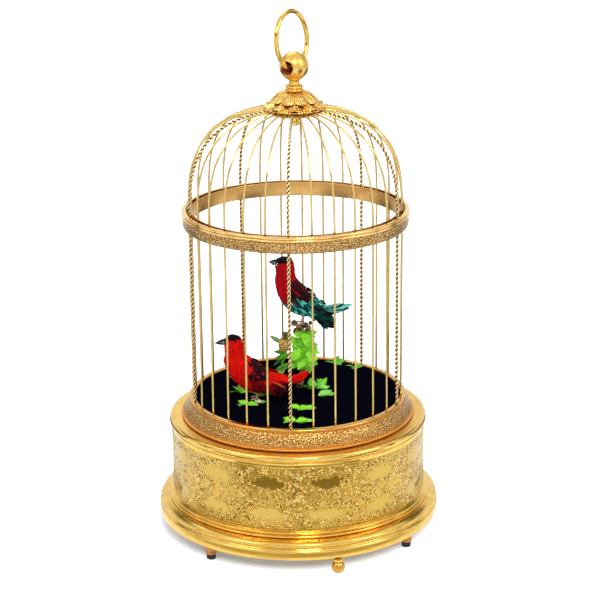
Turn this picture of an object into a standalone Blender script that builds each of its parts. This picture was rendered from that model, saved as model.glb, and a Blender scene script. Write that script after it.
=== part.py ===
"""Singing bird automaton: a gilt wire cage on an engraved drum, with two birds over a clockwork movement.

Metres, +Z up. The origin is the centre of the base, on the table. The front of the cage faces -Y.
Each object is one separate piece of the real thing, and neighbours that touch keep a small seating gap.
"""

import math

import bmesh
import bpy
from mathutils import Matrix, Vector

# Fits
GAP = 0.0003
RUNNING_GAP = 0.0005

# Drum and foot, from the table upwards. The mouldings stand out from the drum by the sizes named here.
DRUM_RADIUS = 0.072
DRUM_HEIGHT = 0.0370
DRUM_WALL = 0.0016
RIM_CLEARANCE = 0.0105
RIM_PROJECTION = 0.0080
RIM_HEIGHT = 0.0058
RIM_WALL = 0.0018
OVOLO_HEIGHT = 0.0044
OVOLO_PROJECTION = 0.0035
BEAD_HEIGHT = 0.0019
BEAD_PROJECTION = 0.0018
FILLET_HEIGHT = 0.0026
TORUS_HEIGHT = 0.0036
TORUS_PROJECTION = 0.0012
SHOULDER_INSET = 0.0015
RING_STEPS = 36

# Bottom plate, its feet and its sound holes
PLATE_INSET = 0.0020
PLATE_THICKNESS = 0.0018
PLATE_LEDGE = 0.0024
SOUND_HOLE_RADIUS = 0.0030
SOUND_HOLE_COUNT = 6
SOUND_HOLE_RING = 0.0110
SOUND_HOLES_AT = (0.034, -0.020)
FOOT_INSET = 0.0082
FOOT_RADIUS = 0.0031
FOOT_PAD_RADIUS = 0.0026
FOOT_PAD_HEIGHT = 0.0028
FOOT_SPREAD = 100.0
FOOT_TURN = 7.0

# Winding key
KEY_STEM_RADIUS = 0.0036
KEY_BOTTOM = 0.0023
KEY_LOBE_LENGTH = 0.0072
KEY_LOBE_OFFSET = 0.0088
KEY_RING_WIDTH = 0.0024
KEY_THICKNESS = 0.0022

# Start and stop lever
LEVER_TURN = 15.5
LEVER_PIVOT_INSET = 0.0200
KNOB_INSET = 0.0010
KNOB_RADIUS = 0.0037
KNOB_CLEARANCE = 0.0014
LEVER_THICKNESS = 0.0014
LEVER_WIDTH = 0.0050

# Embossed ring that carries the wires, measured from their circle, and the floor inside it
SEAT_TOP_MARGIN = 0.0021
SEAT_FLARE = 0.0046
SEAT_INNER_MARGIN = 0.0012
SEAT_HEIGHT = 0.0110
SEAT_BEAD = 0.0012
SEAT_BEARING = 0.0060
FLOOR_DROP = 0.0012
FLOOR_THICKNESS = 0.0030
FLOOR_LEDGE = 0.0040
FLOOR_LEAF_SINK = 0.0006

# Wires of the cage
WIRE_COUNT = 30
TWIST_EVERY = 6
FRONT_TURN = -3.8
CAGE_RADIUS = 0.0595
WIRE_RADIUS = 0.0006
TWISTED_RADIUS = 0.0010
WIRE_STRAIGHT = 0.1077
DOME_HEIGHT = 0.0554
DOME_POWER = 2.74
WIRE_END_RADIUS = 0.0110
DOME_STEPS = 7

# Band half way up
BAND_LIP_HEIGHT = 0.0026
BAND_HEIGHT = 0.0092
BAND_THICKNESS = 0.0018
BAND_LIP_PROJECTION = 0.0008
STRIP_THICKNESS = 0.0008
STRIP_HEIGHT = 0.0078

# Crown of stamped leaves, finial and hanging ring
CROWN_RADIUS = 0.0175
CROWN_THICKNESS = 0.0012
CROWN_LEAF_INSET = 0.0013
CROWN_LEAF_ROOT = 0.0049
CROWN_LEAF_THICKNESS = 0.0006
CROWN_LEAF_GAP = 0.0004
CROWN_LEAF_NOTCH = 0.0028
LEAF_COUNT = 9
CROWN_STEPS = 36
SCALLOP_DEPTH = 0.0005
CROWN_TOP_RADIUS = 0.0048
CROWN_HEIGHT = 0.0088
STEM_RADIUS = 0.0016
COLLAR_RADIUS = 0.0051
COLLAR_HEIGHT = 0.0038
NECK_RADIUS = 0.0030
NECK_HEIGHT = 0.0022
BALL_RADIUS = 0.0081
BALL_HOLE_RADIUS = 0.0028
BALL_MOUTH_RADIUS = 0.0036
NUT_RADIUS = 0.0027
NUT_HEIGHT = 0.0061
GATHER_MARGIN = 0.0020
GATHER_THICKNESS = 0.0012
HANGER_RADIUS = 0.0154
HANGER_WIRE = 0.00135
HANGER_DROP = 0.0011
HANGER_TURN = 58.0
HANGER_LEAN = -5.0

# Clockwork movement
FRAME_LENGTH = 0.092
FRAME_WIDTH = 0.066
FRAME_CORNER = 0.005
FRAME_PLATE = 0.0020
FRAME_LIFT = 0.0034
FRAME_SPACING = 0.0240
PILLAR_RADIUS = 0.0030
PILLAR_INSET = 0.0050
ARBOR_RADIUS = 0.0016
BARREL_AT = (-0.020, 0.006)
BARREL_TEETH = 48
TRAIN_MODULE = 0.0010
BARREL_DRUM_RADIUS = 0.0210
BARREL_DRUM_HEIGHT = 0.0100
GREAT_WHEEL_THICKNESS = 0.0030
CAM_PINION_TEETH = 12
CAM_WHEEL_TEETH = 36
FLY_MODULE = 0.0007
FLY_PINION_TEETH = 8
FLY_TURN = -40.0
CAM_WHEEL_THICKNESS = 0.0016
CAM_RADIUS = 0.0094
CAM_LIFT = 0.0014
CAM_THICKNESS = 0.0011
CAM_SPACE = 0.0006
MESH_CLEARANCE = 0.00025
VANE_REACH = 0.0088
VANE_HEIGHT = 0.0080
VANE_THICKNESS = 0.0008
BELLOWS_LENGTH = 0.030
BELLOWS_WIDTH = 0.020
BELLOWS_THIN = 0.0030
BELLOWS_THICK = 0.0085
BELLOWS_AT = (-0.030, 0.014)
WHISTLE_RADIUS = 0.0042
WHISTLE_HEIGHT = 0.0150
WHISTLE_AT = (0.026, 0.018)

# Twig and leaves
TWIG_FOOT = (0.0010, 0.0090)
TWIG_TOP = (0.0024, 0.0000)
PERCH_HEIGHT = 0.0399
TWIG_BOW = 0.0022
TWIG_RADIUS = 0.0017
TWIG_TIP_RADIUS = 0.0012
LEAF_LENGTH = 0.0115
LEAF_WIDTH = 0.0084
LEAF_THICKNESS = 0.0008
BUD_SHARE = 0.84
BUD_AT = (-0.0074, 0.0020)
BUD_HEIGHT = 0.0280
BUD_LENGTH = 0.0066
BUD_RADIUS = 0.0029

# Birds. Their outlines are drawn in fortieths of this height, from the point that each one stands on.
BIRD_HEIGHT = 0.0400
GROUND_BIRD_AT = (-0.0235, -0.0100)
HEAD_SEAM_RADIUS = 0.00535
TRUNK_WIDTH_SHARE = 0.92
BIRD_SIDES = 10
LEG_RADIUS = 0.0006
LEG_SPACING = 0.0044
TOE_LENGTH = 0.0034
WING_THICKNESS = 0.0024
TAIL_THICKNESS = 0.0012
TAIL_ROOT_WIDTH = 0.0042
TAIL_TIP_WIDTH = 0.0095
TAIL_GAP = 0.0006
BEAK_RADIUS = 0.0012
JAW_RADIUS = 0.0006

# Colours and finishes: colour, metallic, roughness
GOLD = ((0.86, 0.66, 0.28), 1.0, 0.22)
ROSE_GOLD = ((0.84, 0.58, 0.26), 1.0, 0.35)
BRASS = ((0.80, 0.60, 0.24), 1.0, 0.32)
STEEL = ((0.55, 0.56, 0.58), 1.0, 0.35)
RUBBER_BRASS = ((0.55, 0.27, 0.07), 0.6, 0.40)
FLOCK = ((0.008, 0.010, 0.020), 0.0, 0.95)
LEATHER = ((0.30, 0.18, 0.10), 0.0, 0.75)
TWIG_BROWN = ((0.30, 0.24, 0.10), 0.0, 0.80)
SCARLET = ((0.62, 0.01, 0.01), 0.0, 0.75)
CRIMSON = ((0.26, 0.01, 0.02), 0.0, 0.75)
TEAL = ((0.02, 0.34, 0.30), 0.0, 0.75)
MAROON = ((0.07, 0.01, 0.02), 0.0, 0.75)
BEAK_BLACK = ((0.01, 0.01, 0.012), 0.0, 0.30)

# Radii and levels that follow from the sizes above
rim_radius = DRUM_RADIUS + RIM_PROJECTION
ovolo_radius = DRUM_RADIUS + OVOLO_PROJECTION
bead_radius = DRUM_RADIUS + BEAD_PROJECTION
torus_radius = DRUM_RADIUS + TORUS_PROJECTION
seat_top_radius = CAGE_RADIUS + SEAT_TOP_MARGIN
seat_foot_radius = seat_top_radius + SEAT_FLARE
seat_inner_radius = CAGE_RADIUS - SEAT_INNER_MARGIN
top_opening = seat_foot_radius - SEAT_BEARING
band_bore = CAGE_RADIUS + TWISTED_RADIUS + GAP
band_outer_radius = band_bore + BAND_THICKNESS
rim_top = RIM_CLEARANCE + RIM_HEIGHT
ovolo_top = rim_top + OVOLO_HEIGHT
beads_top = ovolo_top + 2 * BEAD_HEIGHT
drum_top = beads_top + DRUM_HEIGHT
fillet_top = drum_top + FILLET_HEIGHT
torus_top = fillet_top + TORUS_HEIGHT
plate_bottom = RIM_CLEARANCE + PLATE_INSET
plate_top = plate_bottom + PLATE_THICKNESS
seat_bottom = torus_top + GAP
seat_top = seat_bottom + SEAT_HEIGHT
floor_top = seat_top - FLOOR_DROP
floor_bottom = floor_top - FLOOR_THICKNESS
wire_foot = seat_top + GAP
spring_line = wire_foot + WIRE_STRAIGHT
band_top = spring_line + GAP
perch_z = floor_top + PERCH_HEIGHT
drum_inner = DRUM_RADIUS - DRUM_WALL
frame_bottom = plate_top + GAP + FRAME_LIFT
frame_top = frame_bottom + FRAME_PLATE + FRAME_SPACING
cam_distance = TRAIN_MODULE * (BARREL_TEETH + CAM_PINION_TEETH) / 2 + MESH_CLEARANCE
fly_distance = FLY_MODULE * (CAM_WHEEL_TEETH + FLY_PINION_TEETH) / 2 + MESH_CLEARANCE


def clear_scene():
    for old in list(bpy.data.objects):
        bpy.data.objects.remove(old, do_unlink=True)


def finish(name, look):
    """A Principled material of one colour, metallic value and roughness."""
    colour, metallic, roughness = look
    material = bpy.data.materials.new(name)
    material.use_nodes = True
    shader = material.node_tree.nodes["Principled BSDF"]
    shader.inputs["Base Color"].default_value = (*colour, 1.0)
    shader.inputs["Metallic"].default_value = metallic
    shader.inputs["Roughness"].default_value = roughness
    return material


def add_object(name, mesh, look, helper=False):
    """Links a mesh as a piece, or as a hidden helper for a Boolean."""
    piece = bpy.data.objects.new(name, mesh)
    bpy.context.scene.collection.objects.link(piece)
    if helper:
        piece.hide_render = True
        piece.display_type = "WIRE"
    else:
        mesh.materials.append(finish(name, look))
    return piece


def to_mesh(bm, name, smooth_angle=40.0):
    bmesh.ops.remove_doubles(bm, verts=bm.verts[:], dist=1e-7)
    bmesh.ops.recalc_face_normals(bm, faces=bm.faces[:])
    mesh = bpy.data.meshes.new(name)
    bm.to_mesh(mesh)
    bm.free()
    mesh.shade_smooth()
    mesh.set_sharp_from_angle(angle=math.radians(smooth_angle))
    return mesh


def arc(centre_r, centre_z, radius, start, end, steps):
    """Points of an arc in a turned profile. Angles are in degrees from the outward direction."""
    turns = [math.radians(start + (end - start) * i / steps) for i in range(steps + 1)]
    return [(centre_r + radius * math.cos(a), centre_z + radius * math.sin(a)) for a in turns]


def turned_bmesh(profile, steps=RING_STEPS, closed=True):
    """Turns a profile of (radius, height) points about Z. A profile that ends on the axis isn't closed."""
    bm = bmesh.new()
    verts = [bm.verts.new((r, 0.0, z)) for r, z in profile]
    edges = [bm.edges.new(pair) for pair in zip(verts, verts[1:])]
    if closed:
        edges.append(bm.edges.new((verts[-1], verts[0])))
    bmesh.ops.spin(
        bm, geom=verts + edges, cent=(0, 0, 0), axis=(0, 0, 1), dvec=(0, 0, 0),
        angle=2 * math.pi, steps=steps, use_merge=True, use_duplicate=False,
    )
    return bm


def turned(name, profile, look, steps=RING_STEPS, closed=True, helper=False):
    return add_object(name, to_mesh(turned_bmesh(profile, steps, closed), name), look, helper)


def plate_bmesh(outline, bottom, top):
    """A flat plate: an outline of (x, y) points, filled and extruded upwards."""
    bm = bmesh.new()
    verts = [bm.verts.new((x, y, bottom)) for x, y in outline]
    face = bm.faces.new(verts)
    raised = bmesh.ops.extrude_face_region(bm, geom=[face])
    lifted = [item for item in raised["geom"] if isinstance(item, bmesh.types.BMVert)]
    bmesh.ops.translate(bm, verts=lifted, vec=(0, 0, top - bottom))
    return bm


def cylinder_bmesh(radius, bottom, top, sides=16, at=(0.0, 0.0)):
    outline = [
        (at[0] + radius * math.cos(2 * math.pi * i / sides),
         at[1] + radius * math.sin(2 * math.pi * i / sides))
        for i in range(sides)
    ]
    return plate_bmesh(outline, bottom, top)


def rod(name, radius, bottom, top, sides=12, at=(0.0, 0.0)):
    return add_object(name, to_mesh(cylinder_bmesh(radius, bottom, top, sides, at), name), None, True)


def combine(piece, others, operation):
    """Joins hidden helpers to a piece, or cuts them from it."""
    for other in others:
        change = piece.modifiers.new(other.name, "BOOLEAN")
        change.operation = operation
        change.solver = "EXACT"
        change.object = other
    return piece


def place(piece, origin, turn=0.0, axis="Z"):
    """Moves a piece's origin to a point, leaving its mesh where it is drawn from that origin."""
    piece.location = origin
    piece.rotation_euler = Matrix.Rotation(math.radians(turn), 4, axis).to_euler()
    return piece


def polar(radius, degrees_from_front):
    """A point on a circle, by its angle from the front (-Y), positive towards +X."""
    a = math.radians(degrees_from_front)
    return radius * math.sin(a), -radius * math.cos(a)


def loft_bmesh(sections, sides=BIRD_SIDES, start=None):
    """A closed form through rings. Each ring is (centre, in-plane half height, sideways half width).

    The rings stand square to the line through their centres, which lies in an XZ plane.
    The first ring stands square to the start direction, where one is given.
    """
    bm = bmesh.new()
    centres = [Vector(centre) for centre, _, _ in sections]
    previous = None
    for i, (centre, half_height, half_width) in enumerate(sections):
        along = centres[min(i + 1, len(centres) - 1)] - centres[max(i - 1, 0)]
        if start and i == 0:
            along = Vector(start)
        side = Vector((0, 1, 0))
        up = along.cross(side).normalized()
        frame = Matrix((side, up, along.normalized())).transposed().to_4x4()
        frame.translation = centres[i]
        scale = Matrix.Diagonal((half_width, half_height, 1, 1))
        ends = i in (0, len(sections) - 1)
        ring = bmesh.ops.create_circle(bm, cap_ends=ends, radius=1, segments=sides, matrix=frame @ scale)
        edges = list({edge for vert in ring["verts"] for edge in vert.link_edges})
        if previous:
            bmesh.ops.bridge_loops(bm, edges=previous + edges)
        previous = edges
    return bm


def loft(name, sections, look=None, sides=BIRD_SIDES, start=None):
    return add_object(name, to_mesh(loft_bmesh(sections, sides, start), name, 60.0), look, look is None)


def gear_outline(teeth, module, phase, centre=(0.0, 0.0)):
    """Straight-sided teeth. The first tooth points along the phase angle, in radians."""
    pitch = 2 * math.pi / teeth
    root = module * (teeth / 2 - 1.15)
    tip = module * (teeth / 2 + 0.85)
    corners = ((root, -0.29), (tip, -0.12), (tip, 0.12), (root, 0.29))
    points = []
    for tooth in range(teeth):
        for radius, share in corners:
            a = phase + (tooth + share) * pitch
            points.append((centre[0] + radius * math.cos(a), centre[1] + radius * math.sin(a)))
    return points


def gear(name, teeth, module, phase, bottom, top):
    return add_object(name, to_mesh(plate_bmesh(gear_outline(teeth, module, phase), bottom, top), name),
                      None, True)


def build_base_housing():
    """The spun drum: rolled rim, ovolo, two beads, engraved face, fillet and torus, open underneath."""
    rim_inner = rim_radius - RIM_WALL
    ledge_z = plate_top + GAP
    ovolo_mid = (rim_radius + ovolo_radius) / 2
    profile = [(rim_inner, RIM_CLEARANCE), (rim_radius, RIM_CLEARANCE), (rim_radius, rim_top - RIM_WALL / 3)]
    profile += [(rim_radius - RIM_WALL / 2, rim_top)]
    profile += [(ovolo_mid + RIM_WALL, rim_top + OVOLO_HEIGHT * 0.5), (ovolo_radius, ovolo_top)]
    for bead in range(2):
        middle = ovolo_top + BEAD_HEIGHT * (bead + 0.5)
        outer = bead_radius - bead * (bead_radius - DRUM_RADIUS) / 2
        profile += [(outer + BEAD_HEIGHT / 2, middle), (outer - BEAD_HEIGHT / 4, middle + BEAD_HEIGHT / 2)]
    profile += [(DRUM_RADIUS, beads_top + GAP), (DRUM_RADIUS, drum_top)]
    profile += [(DRUM_RADIUS + GAP, drum_top + GAP), (DRUM_RADIUS + GAP, fillet_top - GAP)]
    torus = TORUS_HEIGHT / 2
    profile += arc(torus_radius - torus, fillet_top + torus, torus, -70, 80, 4)
    profile += [(DRUM_RADIUS - SHOULDER_INSET, torus_top), (top_opening, torus_top),
                (top_opening, torus_top - DRUM_WALL)]
    profile += [(drum_inner, torus_top - DRUM_WALL), (drum_inner, ovolo_top + RIM_WALL)]
    profile += [(rim_inner - PLATE_LEDGE, ledge_z + RIM_WALL), (rim_inner - PLATE_LEDGE, ledge_z),
                (rim_inner, ledge_z)]
    return turned("base_housing", profile, GOLD)


def build_bottom_plate():
    """The disc that closes the drum from below, bored for the key, and for the song to come out."""
    radius = rim_radius - RIM_WALL - GAP
    outline_steps = RING_STEPS
    plate = add_object(
        "bottom_plate", to_mesh(cylinder_bmesh(radius, plate_bottom, plate_top, outline_steps),
                                "bottom_plate"), BRASS
    )
    cut_bottom = plate_bottom - PLATE_THICKNESS
    cut_top = plate_top + PLATE_THICKNESS
    cutters = [rod("key_hole_cutter", KEY_STEM_RADIUS + RUNNING_GAP, cut_bottom, cut_top, 16, BARREL_AT)]
    places = [SOUND_HOLES_AT]
    for i in range(SOUND_HOLE_COUNT):
        a = 2 * math.pi * i / SOUND_HOLE_COUNT
        across = SOUND_HOLES_AT[0] + SOUND_HOLE_RING * math.cos(a)
        back = SOUND_HOLES_AT[1] + SOUND_HOLE_RING * math.sin(a)
        places.append((across, back))
    for i, at in enumerate(places):
        cutters.append(rod(f"sound_hole_cutter_{i}", SOUND_HOLE_RADIUS, cut_bottom, cut_top, 10, at))
    return combine(plate, cutters, "DIFFERENCE")


def build_feet():
    """Four turned pegs with rubber pads, screwed up against the bottom plate."""
    top = plate_bottom - GAP
    profile = [(0, 0), (FOOT_PAD_RADIUS, 0), (FOOT_PAD_RADIUS, FOOT_PAD_HEIGHT),
               (FOOT_RADIUS, FOOT_PAD_HEIGHT + GAP)]
    profile += [(FOOT_RADIUS, top), (0, top)]
    half = FOOT_SPREAD / 2
    for number, turn in enumerate((-half, half, 180 - half, 180 + half), 1):
        foot = turned(f"foot_{number}", profile, RUBBER_BRASS, 12, closed=False)
        place(foot, (*polar(rim_radius - FOOT_INSET, FOOT_TURN + turn), 0))


def build_winding_key():
    """A butterfly key: two ring-shaped wings beside a turned stem that reaches up to the barrel arbor."""
    height = plate_bottom - GAP - KEY_BOTTOM
    middle = KEY_BOTTOM + height / 2
    key = turned(
        "winding_key",
        [(0, KEY_BOTTOM + GAP), (KEY_STEM_RADIUS, KEY_BOTTOM + GAP), (KEY_STEM_RADIUS, frame_bottom - GAP),
         (0, frame_bottom - GAP)],
        STEEL, 14, closed=False,
    )
    wings = []
    holes = []
    for side in (-1, 1):
        for group, shrink, thick in ((wings, 0.0, 1.0), (holes, KEY_RING_WIDTH, 3.0)):
            name = f"key_wing_{side}_{len(wings)}_{len(holes)}"
            bm = cylinder_bmesh(1.0, -KEY_THICKNESS * thick / 2, KEY_THICKNESS * thick / 2, 18)
            stretch = Matrix.Diagonal((KEY_LOBE_LENGTH - shrink, height / 2 - shrink, 1, 1))
            stand = Matrix.Rotation(math.pi / 2, 4, "X")
            shift = Matrix.Translation((side * KEY_LOBE_OFFSET, 0, middle))
            bmesh.ops.transform(bm, matrix=shift @ stand @ stretch, verts=bm.verts[:])
            group.append(add_object(name, to_mesh(bm, name), None, True))
    combine(key, wings, "UNION")
    combine(key, holes, "DIFFERENCE")
    for item in [key, *wings, *holes]:
        item.location = (*BARREL_AT, 0)
    return key


def build_start_stop_lever():
    """A flat arm under the rim with a ball knob, pivoted below the bottom plate."""
    knob_z = KNOB_CLEARANCE + KNOB_RADIUS
    arm_bottom = knob_z + KNOB_RADIUS - GAP
    arm_top = arm_bottom + LEVER_THICKNESS
    reach = LEVER_PIVOT_INSET - KNOB_INSET
    half = LEVER_WIDTH / 2
    outer_turns = [math.radians(t) for t in range(-90, 91, 30)]
    inner_turns = [math.radians(t) for t in range(90, 271, 30)]
    outline = [(reach + half * math.cos(a), half * math.sin(a)) for a in outer_turns]
    outline += [(half * math.cos(a), half * math.sin(a)) for a in inner_turns]
    lever = add_object("start_stop_lever", to_mesh(plate_bmesh(outline, arm_bottom, arm_top), "lever"), GOLD)
    ball = turned(
        "lever_ball",
        [(0, knob_z - KNOB_RADIUS)] + arc(0, knob_z, KNOB_RADIUS, -60, 60, 4) + [(0, knob_z + KNOB_RADIUS)],
        None, 14, closed=False, helper=True,
    )
    ball.location = (reach, 0, 0)
    stem = rod("lever_stem", KNOB_RADIUS / 2, knob_z, (arm_bottom + arm_top) / 2, 10, (reach, 0.0))
    boss = rod("lever_boss", half * 0.9, arm_bottom + GAP, plate_bottom - GAP, 12)
    combine(lever, [ball, stem, boss], "UNION")
    pivot = (*polar(rim_radius - LEVER_PIVOT_INSET, LEVER_TURN), 0)
    outward = Vector((*polar(1, LEVER_TURN), 0))
    turn = math.atan2(outward.y, outward.x)
    for item in (lever, ball, stem, boss):
        shift = Matrix.Translation(pivot) @ Matrix.Rotation(turn, 4, "Z") @ Matrix.Translation(item.location)
        item.matrix_world = shift
    return lever


def build_seat_ring():
    """The embossed ring under the wires: a bead at the foot, one at the top, and a ledge for the floor."""
    neck_z = seat_top - 1.6 * SEAT_BEAD
    profile = [(seat_foot_radius - SEAT_BEAD, seat_bottom), (seat_foot_radius, seat_bottom + SEAT_BEAD / 2)]
    profile += [(seat_foot_radius - SEAT_BEAD / 2, seat_bottom + SEAT_BEAD)]
    frieze_middle = (seat_foot_radius + seat_top_radius) / 2 + SEAT_BEAD / 3
    profile += [(frieze_middle, (seat_bottom + neck_z) / 2), (seat_top_radius, neck_z)]
    profile += [(seat_top_radius, seat_top - SEAT_BEAD / 2), (seat_top_radius - SEAT_BEAD / 3, seat_top)]
    profile += [(seat_inner_radius, seat_top), (seat_inner_radius, floor_bottom - GAP)]
    profile += [(seat_inner_radius - FLOOR_LEDGE, floor_bottom - GAP),
                (seat_inner_radius - FLOOR_LEDGE, seat_bottom)]
    return turned("seat_ring", profile, ROSE_GOLD)


def leaf(name, at, turn, tilt, roll, size):
    """A flat leaf with three lobes, from a point along a turn and a tilt, rolled about its rib."""
    length = LEAF_LENGTH * size
    width = LEAF_WIDTH * size
    edge = ((0.0, 0.08), (0.22, 0.42), (0.48, 0.32), (0.62, 0.50), (0.82, 0.24), (1.0, 0.05))
    outline = [(length * x, -width * y) for x, y in edge]
    outline += [(length * x, width * y) for x, y in reversed(edge)]
    bm = plate_bmesh(outline, -LEAF_THICKNESS / 2, LEAF_THICKNESS / 2)
    heading = Matrix.Rotation(math.radians(turn), 4, "Z") @ Matrix.Rotation(math.radians(-tilt), 4, "Y")
    rolled = heading @ Matrix.Rotation(math.radians(roll), 4, "X")
    bmesh.ops.transform(bm, matrix=Matrix.Translation(at) @ rolled, verts=bm.verts[:])
    return add_object(name, to_mesh(bm, name), None, True)


def build_floor():
    """The dark flocked disc, with the loose leaves and the blossom that are glued on it."""
    radius = seat_inner_radius - GAP
    profile = [(0, floor_bottom), (radius, floor_bottom), (radius, floor_top), (0, floor_top)]
    floor = turned("floor_disc", profile, FLOCK, closed=False)
    # place in shares of the floor's radius, compass turn, tilt, roll and size of each leaf
    plan = ((-0.62, 0.12, 150, 16, 20, 1.0), (-0.40, 0.14, 20, 26, -30, 0.8),
            (-0.56, -0.32, 200, 18, 15, 0.9),
            (0.00, -0.38, -20, 20, 25, 1.0), (-0.04, -0.72, 25, 14, -15, 1.0), (0.14, 0.38, 60, 34, 20, 1.2),
            (0.28, -0.12, -35, 30, -25, 1.1), (0.36, 0.10, 15, 24, 20, 1.0), (0.42, 0.66, 70, 20, 10, 0.9))
    leaves = []
    for i, (across, back, turn, tilt, roll, size) in enumerate(plan):
        root = (radius * across, radius * back, floor_top - FLOOR_LEAF_SINK)
        leaves.append(leaf(f"floor_leaf_{i}", root, turn, tilt, roll, size))
    blossom = [(0, -BUD_RADIUS / 2), (BUD_RADIUS * 0.7, -BUD_RADIUS / 2),
               (BUD_RADIUS * 0.8, BUD_RADIUS / 4), (0, BUD_RADIUS * 0.5)]
    petals = turned("blossom", blossom, None, 10, closed=False, helper=True)
    petals.location = (radius * -0.39, radius * -0.30, floor_top)
    return combine(floor, [*leaves, petals], "UNION")


def wire_path(wire_radius):
    """Points (radius, height) of a wire: straight up to the spring line, then a full dome.

    A thinner wire lies against the strip inside it and against the crown above it.
    """
    slack = TWISTED_RADIUS - wire_radius
    reach = CAGE_RADIUS - slack
    rise = DOME_HEIGHT + slack
    end = math.acos((WIRE_END_RADIUS / reach) ** (DOME_POWER / 2))
    points = [(reach, wire_foot)]
    for i in range(DOME_STEPS + 1):
        t = end * i / DOME_STEPS
        points.append((reach * math.cos(t) ** (2 / DOME_POWER),
                       spring_line + rise * math.sin(t) ** (2 / DOME_POWER)))
    return points


def build_wires():
    """Thirty wires, every sixth one a twisted pair, which is drawn here as its round envelope."""
    curves = {}
    for kind, radius in (("plain", WIRE_RADIUS), ("twisted", TWISTED_RADIUS)):
        curve = bpy.data.curves.new(f"{kind}_wire", "CURVE")
        curve.dimensions = "3D"
        curve.bevel_depth = radius
        curve.bevel_resolution = 1
        curve.use_fill_caps = True
        path = wire_path(radius)
        line = curve.splines.new("POLY")
        line.points.add(len(path) - 1)
        for point, (r, z) in zip(line.points, path):
            point.co = (r, 0, z, 1)
        line.use_smooth = True
        curve.materials.append(finish(f"{kind}_wire", GOLD))
        curves[kind] = curve
    for i in range(WIRE_COUNT):
        kind = "twisted" if i % TWIST_EVERY == 0 else "plain"
        wire = bpy.data.objects.new(f"{kind}_wire_{i:02d}", curves[kind])
        bpy.context.scene.collection.objects.link(wire)
        wire.rotation_euler.z = math.radians(-90 + FRONT_TURN + 360 * i / WIRE_COUNT)


def build_bands():
    """The band half way up: a plain strip inside the wires and an embossed band with a lip outside them."""
    lip_radius = band_outer_radius + BAND_LIP_PROJECTION
    inner_face = CAGE_RADIUS - TWISTED_RADIUS - GAP
    lip_bottom = band_top - BAND_LIP_HEIGHT
    bottom = band_top - BAND_HEIGHT
    profile = [(band_bore, bottom), (band_outer_radius - GAP, bottom)]
    profile += [(band_outer_radius, bottom + GAP), (band_outer_radius + GAP, (bottom + lip_bottom) / 2)]
    profile += [(band_outer_radius, lip_bottom - GAP), (band_outer_radius - GAP, lip_bottom)]
    profile += [(lip_radius, lip_bottom + BAND_LIP_HEIGHT * 0.35),
                (lip_radius, band_top - BAND_LIP_HEIGHT * 0.3)]
    profile += [(lip_radius - BAND_LIP_HEIGHT / 3, band_top), (band_bore, band_top)]
    turned("mid_band_outer", profile, GOLD)
    strip_bottom = band_top - STRIP_HEIGHT
    strip = [(inner_face - STRIP_THICKNESS, strip_bottom), (inner_face, strip_bottom)]
    strip += [(inner_face, band_top), (inner_face - STRIP_THICKNESS, band_top)]
    turned("mid_band_inner", strip, ROSE_GOLD)


def dome_height_at(radius):
    """Height of the wires' centre line at a radius."""
    share = (radius / CAGE_RADIUS) ** (DOME_POWER / 2)
    return spring_line + DOME_HEIGHT * math.sin(math.acos(share)) ** (2 / DOME_POWER)


crown_bottom = dome_height_at(WIRE_END_RADIUS) + TWISTED_RADIUS + GAP
crown_rim = dome_height_at(CROWN_RADIUS) + TWISTED_RADIUS + GAP
crown_top = crown_bottom + CROWN_HEIGHT
collar_bottom = crown_top + GAP
neck_bottom = collar_bottom + COLLAR_HEIGHT
ball_z = neck_bottom + NECK_HEIGHT + math.sqrt(BALL_RADIUS ** 2 - NECK_RADIUS ** 2)
gather_top = dome_height_at(WIRE_END_RADIUS) - TWISTED_RADIUS - GAP
gather_bottom = gather_top - GATHER_THICKNESS
stem_bottom = gather_bottom - NUT_HEIGHT + GAP


def build_crown():
    """Two stamped layers over the ends of the wires: a scalloped plate, and a bell of pointed leaves."""
    bore = STEM_RADIUS + RUNNING_GAP
    plate_face = crown_rim + CROWN_THICKNESS
    tip = CROWN_RADIUS - CROWN_LEAF_INSET
    root = tip - CROWN_LEAF_ROOT
    leaf_under = plate_face + CROWN_LEAF_GAP
    leaf_face = leaf_under + CROWN_LEAF_THICKNESS
    rise = crown_top - leaf_face
    profile = [(bore, crown_bottom), (WIRE_END_RADIUS, crown_bottom),
               (CROWN_RADIUS - SCALLOP_DEPTH, crown_rim)]
    profile += [(CROWN_RADIUS, crown_rim + CROWN_THICKNESS / 2), (CROWN_RADIUS - SCALLOP_DEPTH, plate_face)]
    profile += [(root, crown_bottom + CROWN_THICKNESS), (tip - GAP, leaf_under), (tip, leaf_face - GAP)]
    # the bell's outer face, from the tips up to the finial: share of the way in, share of the way up
    bell = ((0.12, 0.05), (0.34, 0.36), (0.55, 0.63), (0.80, 0.88), (1.0, 1.0))
    profile += [(tip + (CROWN_TOP_RADIUS - tip) * inwards, leaf_face + rise * up) for inwards, up in bell]
    profile += [(bore, crown_top)]
    bm = turned_bmesh(profile, CROWN_STEPS)
    for vert in bm.verts:
        radius = math.hypot(vert.co.x, vert.co.y)
        turn = math.atan2(vert.co.y, vert.co.x)
        notch = 1 - abs(math.cos(LEAF_COUNT * turn / 2))
        if radius > tip + GAP:
            depth = SCALLOP_DEPTH * (1 - abs(math.cos(LEAF_COUNT * turn)))
        elif vert.co.z > plate_face + GAP and radius > root:
            depth = CROWN_LEAF_NOTCH * notch * (radius - root) / CROWN_LEAF_ROOT
        else:
            depth = 0
        vert.co.x *= 1 - depth / radius
        vert.co.y *= 1 - depth / radius
    return add_object("crown_cap", to_mesh(bm, "crown_cap"), GOLD)


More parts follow.
